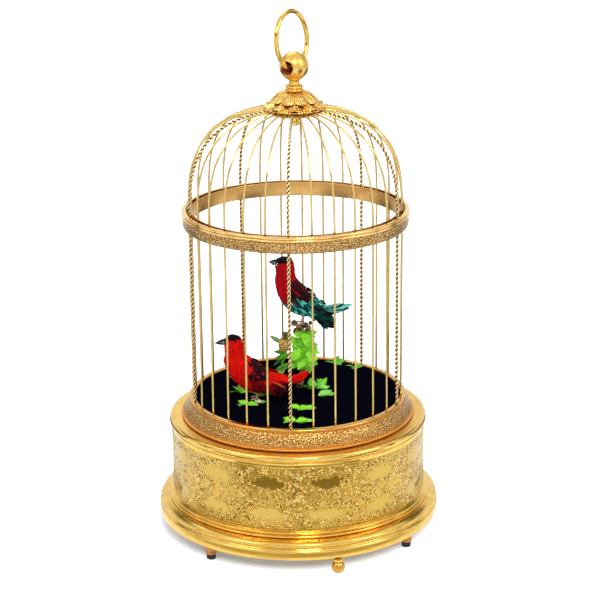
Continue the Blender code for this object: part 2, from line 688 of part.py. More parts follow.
def build_wire_gather():
    """The disc and round nut that draw the wires up against the crown."""
    bore = STEM_RADIUS + RUNNING_GAP / 2
    gather_radius = WIRE_END_RADIUS + GATHER_MARGIN
    nut_bottom = gather_bottom - NUT_HEIGHT
    profile = [(bore, nut_bottom), (NUT_RADIUS - GAP, nut_bottom), (NUT_RADIUS, nut_bottom + GAP)]
    profile += [(NUT_RADIUS, gather_bottom), (gather_radius, gather_bottom), (gather_radius, gather_top),
                (bore, gather_top)]
    return turned("wire_gather_nut", profile, BRASS, 20)


def build_finial():
    """The stem, collar, neck and cross-bored ball on top of the crown."""
    profile = [(0, stem_bottom), (STEM_RADIUS, stem_bottom), (STEM_RADIUS, collar_bottom)]
    profile += [(COLLAR_RADIUS - 2 * GAP, collar_bottom),
                (COLLAR_RADIUS, collar_bottom + COLLAR_HEIGHT * 0.2)]
    profile += [(COLLAR_RADIUS * 0.84, collar_bottom + COLLAR_HEIGHT * 0.5),
                (COLLAR_RADIUS * 0.96, collar_bottom + COLLAR_HEIGHT * 0.8)]
    profile += [(NECK_RADIUS, neck_bottom), (NECK_RADIUS, neck_bottom + NECK_HEIGHT)]
    start = -math.degrees(math.acos(NECK_RADIUS / BALL_RADIUS))
    profile += arc(0, ball_z, BALL_RADIUS, start, 74, 7)[1:]
    profile += [(0, ball_z + BALL_RADIUS)]
    finial = turned("finial", profile, GOLD, 16, closed=False)
    half = BALL_RADIUS * 1.2
    mouth = BALL_RADIUS * 0.84
    bore = [(0, -half), (BALL_MOUTH_RADIUS, -half), (BALL_MOUTH_RADIUS, -mouth),
            (BALL_HOLE_RADIUS, -mouth + BALL_RADIUS / 5)]
    bore += [(r, -z) for r, z in reversed(bore)]
    cutter = turned("finial_hole_cutter", bore, None, 14, closed=False, helper=True)
    along = Matrix.Rotation(math.radians(HANGER_TURN), 4, "Z") @ Matrix.Rotation(math.pi / 2, 4, "Y")
    cutter.matrix_world = Matrix.Translation((0, 0, ball_z)) @ along
    return combine(finial, [cutter], "DIFFERENCE")


def build_hanging_ring():
    """The carrying ring. Its origin is the ball's centre, and it swings about the hole through the ball."""
    bm = bmesh.new()
    flat = Matrix.Translation((HANGER_RADIUS, 0, 0)) @ Matrix.Rotation(math.pi / 2, 4, "X")
    section = bmesh.ops.create_circle(bm, radius=HANGER_WIRE, segments=8, matrix=flat)
    edges = list({edge for vert in section["verts"] for edge in vert.link_edges})
    bmesh.ops.spin(
        bm, geom=section["verts"] + edges, cent=(0, 0, 0), axis=(0, 0, 1), dvec=(0, 0, 0),
        angle=2 * math.pi, steps=24, use_merge=True, use_duplicate=False,
    )
    stand = Matrix.Translation((0, 0, HANGER_RADIUS - HANGER_DROP)) @ Matrix.Rotation(math.pi / 2, 4, "X")
    lean = Matrix.Rotation(math.radians(HANGER_LEAN), 4, "X")
    bmesh.ops.transform(bm, matrix=lean @ stand, verts=bm.verts[:])
    ring = add_object("hanging_ring", to_mesh(bm, "hanging_ring"), GOLD)
    return place(ring, (0, 0, ball_z), HANGER_TURN)


def frame_outline():
    """The movement plates' outline: a rectangle with cut corners."""
    x, y, c = FRAME_LENGTH / 2, FRAME_WIDTH / 2, FRAME_CORNER
    return [(x, y - c), (x - c, y), (c - x, y), (-x, y - c), (-x, c - y), (c - x, -y), (x - c, -y),
            (x, c - y)]


def build_movement_frame():
    """Two brass plates on four pillars, with the song whistle standing on the upper one."""
    frame = add_object(
        "movement_frame", to_mesh(plate_bmesh(frame_outline(), frame_bottom, frame_bottom + FRAME_PLATE),
                                  "plates"), BRASS
    )
    upper = add_object(
        "frame_upper", to_mesh(plate_bmesh(frame_outline(), frame_top, frame_top + FRAME_PLATE),
                               "upper"), None, True
    )
    parts = [upper]
    for i, (sx, sy) in enumerate(((-1, -1), (1, -1), (1, 1), (-1, 1))):
        at = (sx * (FRAME_LENGTH / 2 - PILLAR_INSET), sy * (FRAME_WIDTH / 2 - PILLAR_INSET))
        parts.append(rod(f"frame_pillar_{i}", PILLAR_RADIUS, plate_top + GAP, frame_top + FRAME_PLATE / 2,
                         10, at))
    whistle_top = frame_top + FRAME_PLATE + WHISTLE_HEIGHT
    parts.append(rod("whistle_tube", WHISTLE_RADIUS, frame_top + FRAME_PLATE / 2, whistle_top, 12,
                     WHISTLE_AT))
    combine(frame, parts, "UNION")
    mouth = rod("whistle_mouth_cutter", WHISTLE_RADIUS * 0.8, whistle_top - WHISTLE_HEIGHT / 2,
                whistle_top - WHISTLE_HEIGHT / 3, 6, (WHISTLE_AT[0], WHISTLE_AT[1] + WHISTLE_RADIUS))
    bore = rod("whistle_bore_cutter", WHISTLE_RADIUS * 0.7, frame_top + 2 * FRAME_PLATE,
               whistle_top + FRAME_PLATE, 12,
               WHISTLE_AT)
    return combine(frame, [bore, mouth], "DIFFERENCE")


arbor_bottom = frame_bottom + FRAME_PLATE + GAP
arbor_top = frame_top - GAP
wheel_bottom = arbor_bottom + RUNNING_GAP * 4
barrel_drum_top = wheel_bottom + GREAT_WHEEL_THICKNESS + BARREL_DRUM_HEIGHT
cam_wheel_bottom = barrel_drum_top + RUNNING_GAP * 2
cam_centre = (BARREL_AT[0] + cam_distance, BARREL_AT[1])
fly_angle = math.radians(FLY_TURN)
fly_centre = (cam_centre[0] + fly_distance * math.cos(fly_angle),
              cam_centre[1] + fly_distance * math.sin(fly_angle))


def build_mainspring_barrel():
    """The drum that holds the mainspring, on the great wheel that drives the train."""
    barrel = add_object(
        "mainspring_barrel",
        to_mesh(
            plate_bmesh(gear_outline(BARREL_TEETH, TRAIN_MODULE, 0.0), wheel_bottom,
                        wheel_bottom + GREAT_WHEEL_THICKNESS),
            "great_wheel",
        ),
        BRASS,
    )
    drum = rod("barrel_drum", BARREL_DRUM_RADIUS, wheel_bottom + GREAT_WHEEL_THICKNESS / 2,
               barrel_drum_top, 32)
    arbor = rod("barrel_arbor", ARBOR_RADIUS * 1.5, arbor_bottom, arbor_top, 10)
    combine(barrel, [drum, arbor], "UNION")
    for item in (barrel, drum, arbor):
        item.location = (*BARREL_AT, 0)
    return barrel


def cam_outline(lobes, phase):
    """A cam's edge: a circle that rises and falls once for each lobe."""
    steps = 24
    outline = []
    for i in range(steps):
        a = 2 * math.pi * i / steps
        radius = CAM_RADIUS + CAM_LIFT * math.cos(lobes * a + phase)
        outline.append((radius * math.cos(a), radius * math.sin(a)))
    return outline


def build_song_cams():
    """The cam arbor: a pinion in the great wheel, the wheel that drives the fly, and two song cams."""
    cams = add_object(
        "song_cams",
        to_mesh(
            plate_bmesh(
                gear_outline(CAM_WHEEL_TEETH, FLY_MODULE,
                             fly_angle), cam_wheel_bottom, cam_wheel_bottom + CAM_WHEEL_THICKNESS
            ),
            "cam_wheel",
        ),
        BRASS,
    )
    facing = math.pi + math.pi / CAM_PINION_TEETH
    pinion = gear("cam_pinion", CAM_PINION_TEETH, TRAIN_MODULE, facing, wheel_bottom - GAP,
                  wheel_bottom + GREAT_WHEEL_THICKNESS + GAP)
    arbor = rod("cam_arbor", ARBOR_RADIUS, arbor_bottom, arbor_top, 10)
    parts = [pinion, arbor]
    bottom = cam_wheel_bottom + CAM_WHEEL_THICKNESS + CAM_SPACE
    for i, lobes in enumerate((2, 3)):
        name = f"cam_disc_{i}"
        bm = plate_bmesh(cam_outline(lobes, i), bottom, bottom + CAM_THICKNESS)
        parts.append(add_object(name, to_mesh(bm, name), None, True))
        bottom += CAM_THICKNESS + CAM_SPACE
    combine(cams, parts, "UNION")
    for item in [cams, *parts]:
        item.location = (*cam_centre, 0)
    return cams


def build_governor_fly():
    """The air brake: a pinion and two thin vanes that keep the song at its pace."""
    facing = fly_angle + math.pi + math.pi / FLY_PINION_TEETH
    fly = add_object(
        "governor_fly",
        to_mesh(
            plate_bmesh(
                gear_outline(FLY_PINION_TEETH, FLY_MODULE, facing), cam_wheel_bottom - GAP,
                cam_wheel_bottom + CAM_WHEEL_THICKNESS + GAP,
            ),
            "fly_pinion",
        ),
        STEEL,
    )
    vane_top = cam_wheel_bottom - RUNNING_GAP * 3
    vane_bottom = vane_top - VANE_HEIGHT
    half = VANE_THICKNESS / 2
    blade = [(VANE_REACH, -half), (VANE_REACH, half), (-VANE_REACH, half), (-VANE_REACH, -half)]
    vanes = add_object("fly_vanes", to_mesh(plate_bmesh(blade, vane_bottom, vane_top), "vanes"), None, True)
    arbor = rod("fly_arbor", ARBOR_RADIUS * 0.7, arbor_bottom, arbor_top, 8)
    combine(fly, [arbor, vanes], "UNION")
    for item in (fly, arbor, vanes):
        item.location = (*fly_centre, 0)
    return fly


def build_bellows():
    """The moving board of the bellows with its leather gusset, hinged along its thin end."""
    base = frame_top + FRAME_PLATE + GAP
    bm = bmesh.new()
    half = BELLOWS_WIDTH / 2
    corners = [(0, BELLOWS_THIN), (BELLOWS_LENGTH, BELLOWS_THICK), (BELLOWS_LENGTH, 0), (0, 0)]
    verts = [bm.verts.new((x, -half, z)) for x, z in corners]
    side = bm.faces.new(verts)
    pushed = bmesh.ops.extrude_face_region(bm, geom=[side])
    moved = [item for item in pushed["geom"] if isinstance(item, bmesh.types.BMVert)]
    bmesh.ops.translate(bm, verts=moved, vec=(0, BELLOWS_WIDTH, 0))
    bellows = add_object("bellows", to_mesh(bm, "bellows", 20.0), LEATHER)
    return place(bellows, (*BELLOWS_AT, base))


def twig_point(share):
    """A point on the twig, from its foot on the floor to the perch, with a slight bow."""
    foot = Vector((*TWIG_FOOT, floor_top + GAP))
    tip = Vector((*TWIG_TOP, perch_z))
    bow = Vector((TWIG_BOW, 0.0, 0.0)) * math.sin(math.pi * share)
    return foot.lerp(tip, share) + bow


def build_perch_branch():
    """The twig that carries the upper bird, with its leaves and a cross perch for the bird's toes."""
    steps = 7
    sections = []
    for i in range(steps + 1):
        share = i / steps
        radius = TWIG_RADIUS + (TWIG_TIP_RADIUS - TWIG_RADIUS) * share
        sections.append((twig_point(share), radius, radius))
    branch = loft("perch_branch", sections, TWIG_BROWN, 8)
    top = Vector((*TWIG_TOP, perch_z))
    perch = rod("perch_bar", TWIG_TIP_RADIUS, -LEG_SPACING, LEG_SPACING, 8)
    perch.matrix_world = Matrix.Translation(top) @ Matrix.Rotation(math.pi / 2, 4, "X")
    leaves = []
    # share of the twig's height, compass turn, tilt, roll and size of each leaf
    plan = ((0.86, -40, 30, 30, 0.8), (0.80, -125, 20, 0, 0.9), (0.75, -75, -5, 0, 1.1),
            (0.69, -20, 0, 55, 1.1), (0.64, -115, -10, -20, 1.1), (0.58, -35, -15, 50, 1.1),
            (0.52, 178, 10, -50, 1.2), (0.47, 8, -15, 50, 1.0), (0.42, 168, -15, -55, 1.1),
            (0.34, 0, -20, 45, 0.9), (0.27, 186, -10, -40, 1.1), (0.16, 20, 10, 30, 1.0),
            (0.10, 165, 4, -20, 0.9))
    for i, (share, turn, tilt, roll, size) in enumerate(plan):
        leaves.append(leaf(f"leaf_{i}", twig_point(share), turn, tilt, roll, size))
    side_twig = twig_point(BUD_SHARE)
    bud = Vector((*BUD_AT, floor_top + BUD_HEIGHT))
    reach = (bud - side_twig).normalized()
    swell = [(side_twig, TWIG_TIP_RADIUS * 0.7, TWIG_TIP_RADIUS * 0.7)]
    swell += [(bud - reach * BUD_LENGTH * 0.5, TWIG_TIP_RADIUS * 0.6, TWIG_TIP_RADIUS * 0.6)]
    swell += [(bud - reach * BUD_LENGTH * 0.2, BUD_RADIUS, BUD_RADIUS),
              (bud + reach * BUD_LENGTH * 0.2, BUD_RADIUS, BUD_RADIUS)]
    swell += [(bud + reach * BUD_LENGTH * 0.5, BUD_RADIUS * 0.4, BUD_RADIUS * 0.4)]
    leaves.append(loft("bud", swell, None, 8))
    return combine(branch, [perch, *leaves], "UNION")


def build_bird(name, stand, trunk, head, beak, tail_tip, wing, looks):
    """A bird in four pieces: trunk with wings and legs, turning head, lower beak and lifting tail.

    The outlines run from the neck to the tail. Each entry is (along, up, half height), in fortieths of the
    bird's height from the point between its feet. A wing's has its distance from the middle too, and a head's
    its half width.
    """
    unit = BIRD_HEIGHT / 40

    def spot(along, up, aside=0.0):
        return stand + Vector((along * unit, aside * unit, up * unit))

    neck = spot(*trunk[0])
    rings = [(neck, HEAD_SEAM_RADIUS, HEAD_SEAM_RADIUS)]
    rings += [(spot(x, z), half * unit, half * unit * TRUNK_WIDTH_SHARE) for x, z, half in trunk[1:]]
    body = loft(f"{name}_body", rings, looks[0], start=(0, 0, -1))
    parts = []
    for side in (-1, 1):
        feathers = [(spot(x, z, side * out), half * unit, WING_THICKNESS / 2) for x, z, half, out in wing]
        parts.append(loft(f"{name}_wing_{side}", feathers, None, 8))
        foot = stand + Vector((0, side * LEG_SPACING / 2, 0))
        leg_top = stand.z + (neck.z - stand.z) * 0.35
        parts.append(rod(f"{name}_leg_{side}", LEG_RADIUS, stand.z, leg_top, 6, foot.xy))
        toes = [(foot.x - TOE_LENGTH, foot.y - LEG_RADIUS),
                (foot.x + TOE_LENGTH / 2, foot.y - LEG_RADIUS * 1.6),
                (foot.x + TOE_LENGTH / 2, foot.y + LEG_RADIUS * 1.6),
                (foot.x - TOE_LENGTH, foot.y + LEG_RADIUS)]
        toe_mesh = to_mesh(plate_bmesh(toes, stand.z, stand.z + LEG_RADIUS), f"{name}_toes_{side}")
        parts.append(add_object(f"{name}_toes_{side}", toe_mesh, None, True))
    combine(body, parts, "UNION")

    seam = neck + Vector((0, 0, GAP))
    head_rings = [((0, 0, 0), HEAD_SEAM_RADIUS, HEAD_SEAM_RADIUS)]
    head_rings += [(spot(x, z) - seam, deep * unit, wide * unit) for x, z, deep, wide in head]
    head_piece = loft(f"{name}_head", head_rings, looks[1], start=(0, 0, 1))
    head_piece.location = seam
    root, tip = spot(*beak[0]), spot(*beak[1])
    bill_rings = [(root, BEAK_RADIUS, BEAK_RADIUS),
                  (root.lerp(tip, 0.6), BEAK_RADIUS * 0.6, BEAK_RADIUS * 0.6)]
    bill_rings += [(tip, BEAK_RADIUS * 0.2, BEAK_RADIUS * 0.2)]
    combine(head_piece, [loft(f"{name}_bill", bill_rings, None, 6)], "UNION")

    reach = (tip - root).normalized()
    below = Vector((-reach.z, 0, reach.x))
    hinge = root + reach * beak[2] * unit + below * (BEAK_RADIUS + JAW_RADIUS + GAP)
    jaw_tip = tip - hinge - reach * JAW_RADIUS * 2 + below * (JAW_RADIUS * 0.4 + GAP)
    jaw_rings = [(-reach * JAW_RADIUS, JAW_RADIUS * 0.7, JAW_RADIUS),
                 (reach * JAW_RADIUS, JAW_RADIUS, JAW_RADIUS * 1.2)]
    jaw_rings += [(jaw_tip, JAW_RADIUS * 0.3, JAW_RADIUS * 0.3)]
    jaw = loft(f"{name}_beak", jaw_rings, looks[3], 6)
    jaw.location = hinge

    end, before = spot(*trunk[-1][:2]), spot(*trunk[-2][:2])
    tail_root = end + (end - before).normalized() * TAIL_GAP
    outward = spot(*tail_tip) - tail_root
    half = TAIL_THICKNESS / 2
    tail_rings = [((0, 0, 0), half * 0.8, TAIL_ROOT_WIDTH / 2), (outward * 0.1, half, TAIL_ROOT_WIDTH / 2)]
    tail_rings += [(outward * 0.65, half, TAIL_TIP_WIDTH / 2), (outward, half * 0.4, TAIL_TIP_WIDTH / 2.4)]
    tail = loft(f"{name}_tail", tail_rings, looks[2])
    tail.location = tail_root


def build_perched_bird():
    trunk = [(-8.5, 30.4), (-8.0, 25.8, 6.0), (-5.8, 20.2, 7.3), (-1.8, 14.6, 7.5), (3.6, 11.0, 6.3),
             (8.8, 9.8, 4.3),
             (12.4, 9.6, 2.4)]
    head = [(-8.7, 33.3, 5.2, 4.9), (-9.2, 36.3, 4.8, 4.4), (-9.5, 38.5, 3.5, 3.2), (-9.6, 39.7, 1.3, 1.2)]
    wing = [(-5.9, 23.3, 2.2, 5.4), (-1.0, 18.0, 4.4, 6.8), (6.4, 10.8, 4.6, 6.3), (13.8, 3.8, 3.6, 5.2),
            (18.6, -0.4, 1.6, 4.2)]
    beak = ((-13.2, 37.0), (-18.2, 36.8), 1.9)
    stand = Vector((*TWIG_TOP, perch_z + TWIG_TIP_RADIUS + GAP))
    build_bird("perched_bird", stand, trunk, head, beak, (30.8, 11.4), wing,
               (MAROON, SCARLET, TEAL, BEAK_BLACK))


def build_ground_bird():
    trunk = [(-11.9, 27.9), (-10.7, 23.4, 6.8), (-7.0, 17.9, 7.9), (-1.5, 13.5, 8.1), (5.0, 10.7, 6.9),
             (11.0, 9.5, 4.7),
             (14.7, 9.5, 2.5)]
    head = [(-11.9, 30.9, 5.3, 5.0), (-12.3, 34.4, 4.9, 4.5), (-12.6, 37.1, 3.6, 3.3),
            (-12.7, 38.8, 1.3, 1.2)]
    wing = [(-8.3, 21.9, 2.2, 5.6), (-2.7, 17.9, 4.8, 7.2), (5.5, 12.4, 5.0, 6.6), (13.0, 8.1, 3.6, 5.2),
            (17.3, 5.7, 1.7, 4.0)]
    beak = ((-16.0, 35.5), (-23.1, 33.5), 2.4)
    stand = Vector((*GROUND_BIRD_AT, floor_top + GAP))
    build_bird("ground_bird", stand, trunk, head, beak, (31.5, 16.5, 3.0), wing,
               (CRIMSON, SCARLET, SCARLET, BEAK_BLACK))


def main():
    clear_scene()
    build_base_housing()
    build_bottom_plate()
    build_feet()
    build_winding_key()
    build_start_stop_lever()
    build_seat_ring()
    build_floor()
    build_wires()
    build_bands()
    build_crown()
    build_wire_gather()
    build_finial()
    build_hanging_ring()
    build_movement_frame()
    build_mainspring_barrel()
    build_song_cams()
    build_governor_fly()
    build_bellows()
    build_perch_branch()
    build_perched_bird()
    build_ground_bird()


main()
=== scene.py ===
# %% [markdown]
# # A gilt singing bird cage
#
# This file dresses a singing bird automaton: thirty gilt wires on an engraved drum, and two feathered birds
# on a twig, over the clockwork that makes them sing. The solid model comes in as a fixed frame, in metres,
# with Z up and the front of the cage towards -Y. Each cell below makes one piece or one finish.

import math
import random

import bmesh
import bpy
from mathutils import Matrix, Vector
from mathutils.bvhtree import BVHTree
from mathutils.geometry import interpolate_bezier


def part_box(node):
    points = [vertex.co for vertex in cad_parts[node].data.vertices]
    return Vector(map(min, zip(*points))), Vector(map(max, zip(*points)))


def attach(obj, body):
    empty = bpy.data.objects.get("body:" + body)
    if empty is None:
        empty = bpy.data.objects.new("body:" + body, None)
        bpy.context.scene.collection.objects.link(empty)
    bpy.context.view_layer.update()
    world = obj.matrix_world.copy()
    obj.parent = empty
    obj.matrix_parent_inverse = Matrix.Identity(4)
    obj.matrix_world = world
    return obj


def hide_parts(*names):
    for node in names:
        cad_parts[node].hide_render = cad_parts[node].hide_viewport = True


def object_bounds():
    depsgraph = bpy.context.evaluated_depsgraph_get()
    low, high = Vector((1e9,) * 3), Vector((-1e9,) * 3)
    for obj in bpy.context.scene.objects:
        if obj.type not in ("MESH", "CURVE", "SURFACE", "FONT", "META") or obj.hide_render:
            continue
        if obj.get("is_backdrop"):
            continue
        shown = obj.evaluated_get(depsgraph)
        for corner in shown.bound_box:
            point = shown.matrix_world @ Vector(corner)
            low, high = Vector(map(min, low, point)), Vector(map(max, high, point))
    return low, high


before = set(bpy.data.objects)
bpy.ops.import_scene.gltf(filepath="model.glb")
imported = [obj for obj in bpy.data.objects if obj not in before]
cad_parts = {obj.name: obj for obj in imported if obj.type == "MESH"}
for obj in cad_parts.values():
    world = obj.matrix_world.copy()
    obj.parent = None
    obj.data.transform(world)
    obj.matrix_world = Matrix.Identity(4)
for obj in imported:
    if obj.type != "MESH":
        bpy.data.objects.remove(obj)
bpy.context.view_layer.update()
MM = 0.001

# %% [markdown]
# ## Shader sums written as Python
#
# A finish is easier to read as a formula than as a drawing of nodes. One way is to build node groups by hand,
# but a small class that wraps a socket is shorter: adding or multiplying two wrapped sockets adds the Math node
# that does it, so a mask can be written as `1 - ring * spots`. Colours go through Mix nodes instead, because a
# Math node would turn them grey. The operators come first, then the functions that patterns need.

# %% Arithmetic on a socket
class Sums:
    """The output of a shader node, with Python's operators."""

    def __init__(self, tree, socket):
        self.tree = tree
        self.socket = socket

    def sum(self, operation, *others):
        return self.tree.node("ShaderNodeMath", {"operation": operation}, dict(enumerate([self, *others])))

    def __add__(self, other):
        return self.sum("ADD", other)

    __radd__ = __add__

    def __sub__(self, other):
        return self.sum("SUBTRACT", other)

    def __rsub__(self, other):
        return self.tree.number(other).sum("SUBTRACT", self)

    def __mul__(self, other):
        return self.sum("MULTIPLY", other)

    __rmul__ = __mul__

    def __truediv__(self, other):
        return self.sum("DIVIDE", other)

    def __neg__(self):
        return self.sum("MULTIPLY", -1.0)

    def __abs__(self):
        return self.sum("ABSOLUTE")


print("operators:", [name for name in vars(Sums) if name.startswith("__") and callable(getattr(Sums, name))])


# %% Functions of a socket
class Flow(Sums):
    """The output of a shader node, with the functions that the finishes are written in."""

    def least(self, other):
        return self.sum("MINIMUM", other)

    def most(self, other):
        return self.sum("MAXIMUM", other)

    def sine(self):
        return self.sum("SINE")

    def cosine(self):
        return self.sum("COSINE")

    def power(self, exponent):
        return self.sum("POWER", exponent)

    def turn(self, other):
        """The angle whose tangent is this socket over the other, from -pi to pi."""
        return self.sum("ARCTAN2", other)

    def wrap(self, low, high):
        return self.sum("WRAP", high, low)

    def step(self, low, high):
        """0 below low and 1 above high, smooth between them. With high under low it falls instead."""
        ends = (low, high, 0.0, 1.0) if low < high else (high, low, 1.0, 0.0)
        inputs = {0: self, **{i + 1: end for i, end in enumerate(ends)}}
        return self.tree.node("ShaderNodeMapRange", {"interpolation_type": "SMOOTHSTEP"}, inputs)


def distance(dx, dy):
    return (dx * dx + dy * dy).power(0.5)


print("functions:", [name for name in vars(Flow) if not name.startswith("_")])

# %% [markdown]
# ## A finish
#
# Every finish starts from one Principled shader. What is the same all over goes straight onto the shader's
# sockets, and only what varies is wired. Two small classes keep that short. The first adds and joins nodes in any
# tree: the settings come before the inputs, because they decide which sockets a node has. The second is a
# material, with the textures that the metals, leaves and feathers are made of.

# %% A tree of nodes
class Tree:
    """A node tree, with short ways to add nodes and join them."""

    def __init__(self, tree):
        self.tree = tree

    def node(self, kind, settings=None, inputs=None, output=0):
        made = self.tree.nodes.new(kind)
        for setting, value in (settings or {}).items():
            setattr(made, setting, value)
        for socket, value in (inputs or {}).items():
            self.plug(made.inputs[socket], value)
        return Flow(self, made.outputs[output])

    def plug(self, socket, value):
        if isinstance(value, Flow):
            self.tree.links.new(value.socket, socket)
        elif isinstance(value, tuple) and len(value) == 3 and socket.type == "RGBA":
            socket.default_value = (*value, 1.0)
        else:
            socket.default_value = value

    def other(self, flow, output):
        """Another output of the node that a socket belongs to."""
        return Flow(self, flow.socket.node.outputs[output])

    def number(self, value):
        return self.node("ShaderNodeMath", {"operation": "ADD"}, {0: value, 1: 0.0})

    def mix(self, factor, low, high):
        return self.node("ShaderNodeMix", {"data_type": "RGBA"}, {0: factor, 6: low, 7: high}, 2)


print("tree class ready")


# %% The finish class
class Finish(Tree):
    """A material with a Principled shader and short ways to add patterns to it."""

    def __init__(self, name, colour, metallic=0.0, roughness=0.5, **constants):
        self.material = bpy.data.materials.new(name)
        self.material.use_nodes = True
        super().__init__(self.material.node_tree)
        self.shader = self.tree.nodes["Principled BSDF"]
        self.set("Base Color", (*colour, 1.0))
        self.set("Metallic", metallic)
        self.set("Roughness", roughness)
        for socket, value in constants.items():
            self.set(socket.replace("_", " "), value)

    def set(self, socket, value):
        self.plug(self.shader.inputs[socket], value)

    def point(self):
        """The point on the piece in millimetres, as one vector."""
        raw = self.node("ShaderNodeTexCoord", output="Object")
        return self.node("ShaderNodeVectorMath", {"operation": "SCALE"}, {0: raw, "Scale": 1.0 / MM})

    def parts(self, vector):
        """The x, y and z of a vector."""
        x = self.node("ShaderNodeSeparateXYZ", None, {0: vector})
        return x, self.other(x, 1), self.other(x, 2)

    def attribute(self, name, kind):
        output = ("colour", "vector", "number").index(kind)
        return self.node("ShaderNodeAttribute", {"attribute_name": name}, output=output)

    def noise(self, vector, scale, detail=3.0, roughness=0.5):
        inputs = {"Vector": vector, "Scale": scale, "Detail": detail, "Roughness": roughness}
        return self.node("ShaderNodeTexNoise", None, inputs)

    def cells(self, vector, scale):
        return self.node("ShaderNodeTexVoronoi", {"feature": "F1"}, {"Vector": vector, "Scale": scale})

    def vector(self, x, y, z):
        return self.node("ShaderNodeCombineXYZ", None, {0: x, 1: y, 2: z})

    def ramp(self, value, *stops):
        made = self.node("ShaderNodeValToRGB", None, {0: value})
        elements = made.socket.node.color_ramp.elements
        for place, (position, colour) in enumerate(stops):
            element = elements[place] if place < 2 else elements.new(position)
            element.position = position
            element.color = (*colour, 1.0)
        return made

    def bump(self, height):
        """Height is in millimetres."""
        inputs = {"Strength": 1.0, "Distance": MM, "Height": height}
        self.set("Normal", self.node("ShaderNodeBump", None, inputs))

    def mottle(self, mask, low, high, one, other):
        """Patches of two colours: the one below low in the mask, and the other above high."""
        self.set("Base Color", self.mix(mask.step(low, high), one, other))


print("finish class ready")

# %% [markdown]
# ## Camera, table and light
#
# The cage was photographed from a little above with a long lens, on white paper. The camera looks down by
# 17.5 degrees from 1.04 m away, and it is moved by a fraction of a degree, so that the cage sits where it does in
# the picture. Shiny gilt is all reflection, so what stands round it matters as much as the lamps: white all round,
# and a few dark cards that draw the dark lines in the mouldings. The paper is lit by the lamps, which cast the
# cage's soft shadow, and it glows a little where the camera or the gilt looks at it, which keeps it white. To the
# camera that glow drops to a cool grey in a disc round the cage's foot, set a little behind it: this dim disc is a
# painted shadow, and it gives the shadow its edge.

# %% Camera
CAMERA_AT = (0.0, -1.04199, 0.46215)
LOOKS_DOWN = 17.51
CAMERA_LEAN = -0.5935
CAMERA_AIM = -0.1075
eye = bpy.data.cameras.new("studio_camera")
eye.sensor_width = 36.0
eye.lens = 116.71
eye.clip_start = 0.01
camera = bpy.data.objects.new("studio_camera", eye)
bpy.context.scene.collection.objects.link(camera)
aim = Matrix.Rotation(math.radians(CAMERA_AIM), 4, "Z") @ Matrix.Rotation(math.radians(90 - LOOKS_DOWN), 4, "X")
camera.matrix_world = Matrix.Translation(CAMERA_AT) @ aim @ Matrix.Rotation(math.radians(CAMERA_LEAN), 4, "Z")
bpy.context.scene.camera = camera
bpy.context.scene.view_settings.view_transform = "Standard"
print("camera at", CAMERA_AT, "lens", eye.lens)


# %% World
def ray_kinds(tree, *kinds):
    """For each kind of ray, 1 to a ray of that kind and 0 to all others."""
    path = tree.node("ShaderNodeLightPath")
    return [tree.other(path, f"Is {kind} Ray") for kind in kinds]


def studio_world(plain_light, seen_light):
    """White wherever it is seen or mirrored, and a cooler, weaker light on everything else."""
    world = bpy.data.worlds.new("studio")
    bpy.context.scene.world = world
    world.use_nodes = True
    sky = Tree(world.node_tree)
    to_camera, to_gilt, through = ray_kinds(sky, "Camera", "Glossy", "Transmission")
    light = sky.mix(to_camera.most(to_gilt).most(through), plain_light, seen_light)
    sky.plug(sky.tree.nodes["Background"].inputs["Color"], light)


studio_world((0.48, 0.53, 0.61), (1.0, 1.0, 1.0))
print("world ready")

# %% Table
# painted shadow: inside a disc about this centre the paper's glow to the camera falls to this cool grey
SHADE_GLOW = (0.11, 0.135, 0.18)
SHADE_CENTRE = (-2.5, 13.0)
SHADE_EDGE = (74.0, 87.0)
MIRRORED_GLOW = 0.42


def as_mesh(bm, name):
    mesh = bpy.data.meshes.new(name)
    bm.to_mesh(mesh)
    bm.free()
    return mesh


def staged(name, bm, material):
    made = bpy.data.objects.new(name, as_mesh(bm, name))
    bpy.context.scene.collection.objects.link(made)
    made.data.materials.append(material)
    made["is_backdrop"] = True
    return made


def studio_table():
    """White paper. It glows to the camera and the gilt, so that it stays white, but to the camera the glow drops in a
    disc round the cage's foot, which is a painted shadow.
    """
    paper = Finish("white_paper", (0.80, 0.85, 0.93), roughness=0.9)
    to_camera, to_gilt = ray_kinds(paper, "Camera", "Glossy")
    x, y, _ = paper.parts(paper.point())
    # painted shadow: the glow to the camera is dimmed inside a disc round the cage's foot
    away = distance(x - SHADE_CENTRE[0], y - SHADE_CENTRE[1]).step(*SHADE_EDGE)
    seen_glow = paper.mix(away, SHADE_GLOW, (1.0, 1.0, 1.0))
    glow_colour = paper.mix(to_camera, (MIRRORED_GLOW,) * 3, seen_glow)
    glow = paper.node("ShaderNodeEmission", None, {"Color": glow_colour, "Strength": 1.0})
    plain = Flow(paper, paper.shader.outputs[0])
    both = paper.node("ShaderNodeAddShader", None, {0: plain, 1: glow})
    picked = paper.node("ShaderNodeMixShader", None, {0: to_camera.most(to_gilt), 1: plain, 2: both})
    paper.plug(paper.tree.nodes["Material Output"].inputs["Surface"], picked)
    bm = bmesh.new()
    bmesh.ops.create_grid(bm, x_segments=1, y_segments=1, size=3.0)
    return staged("white_table", bm, paper.material)


print("table:", studio_table().name)


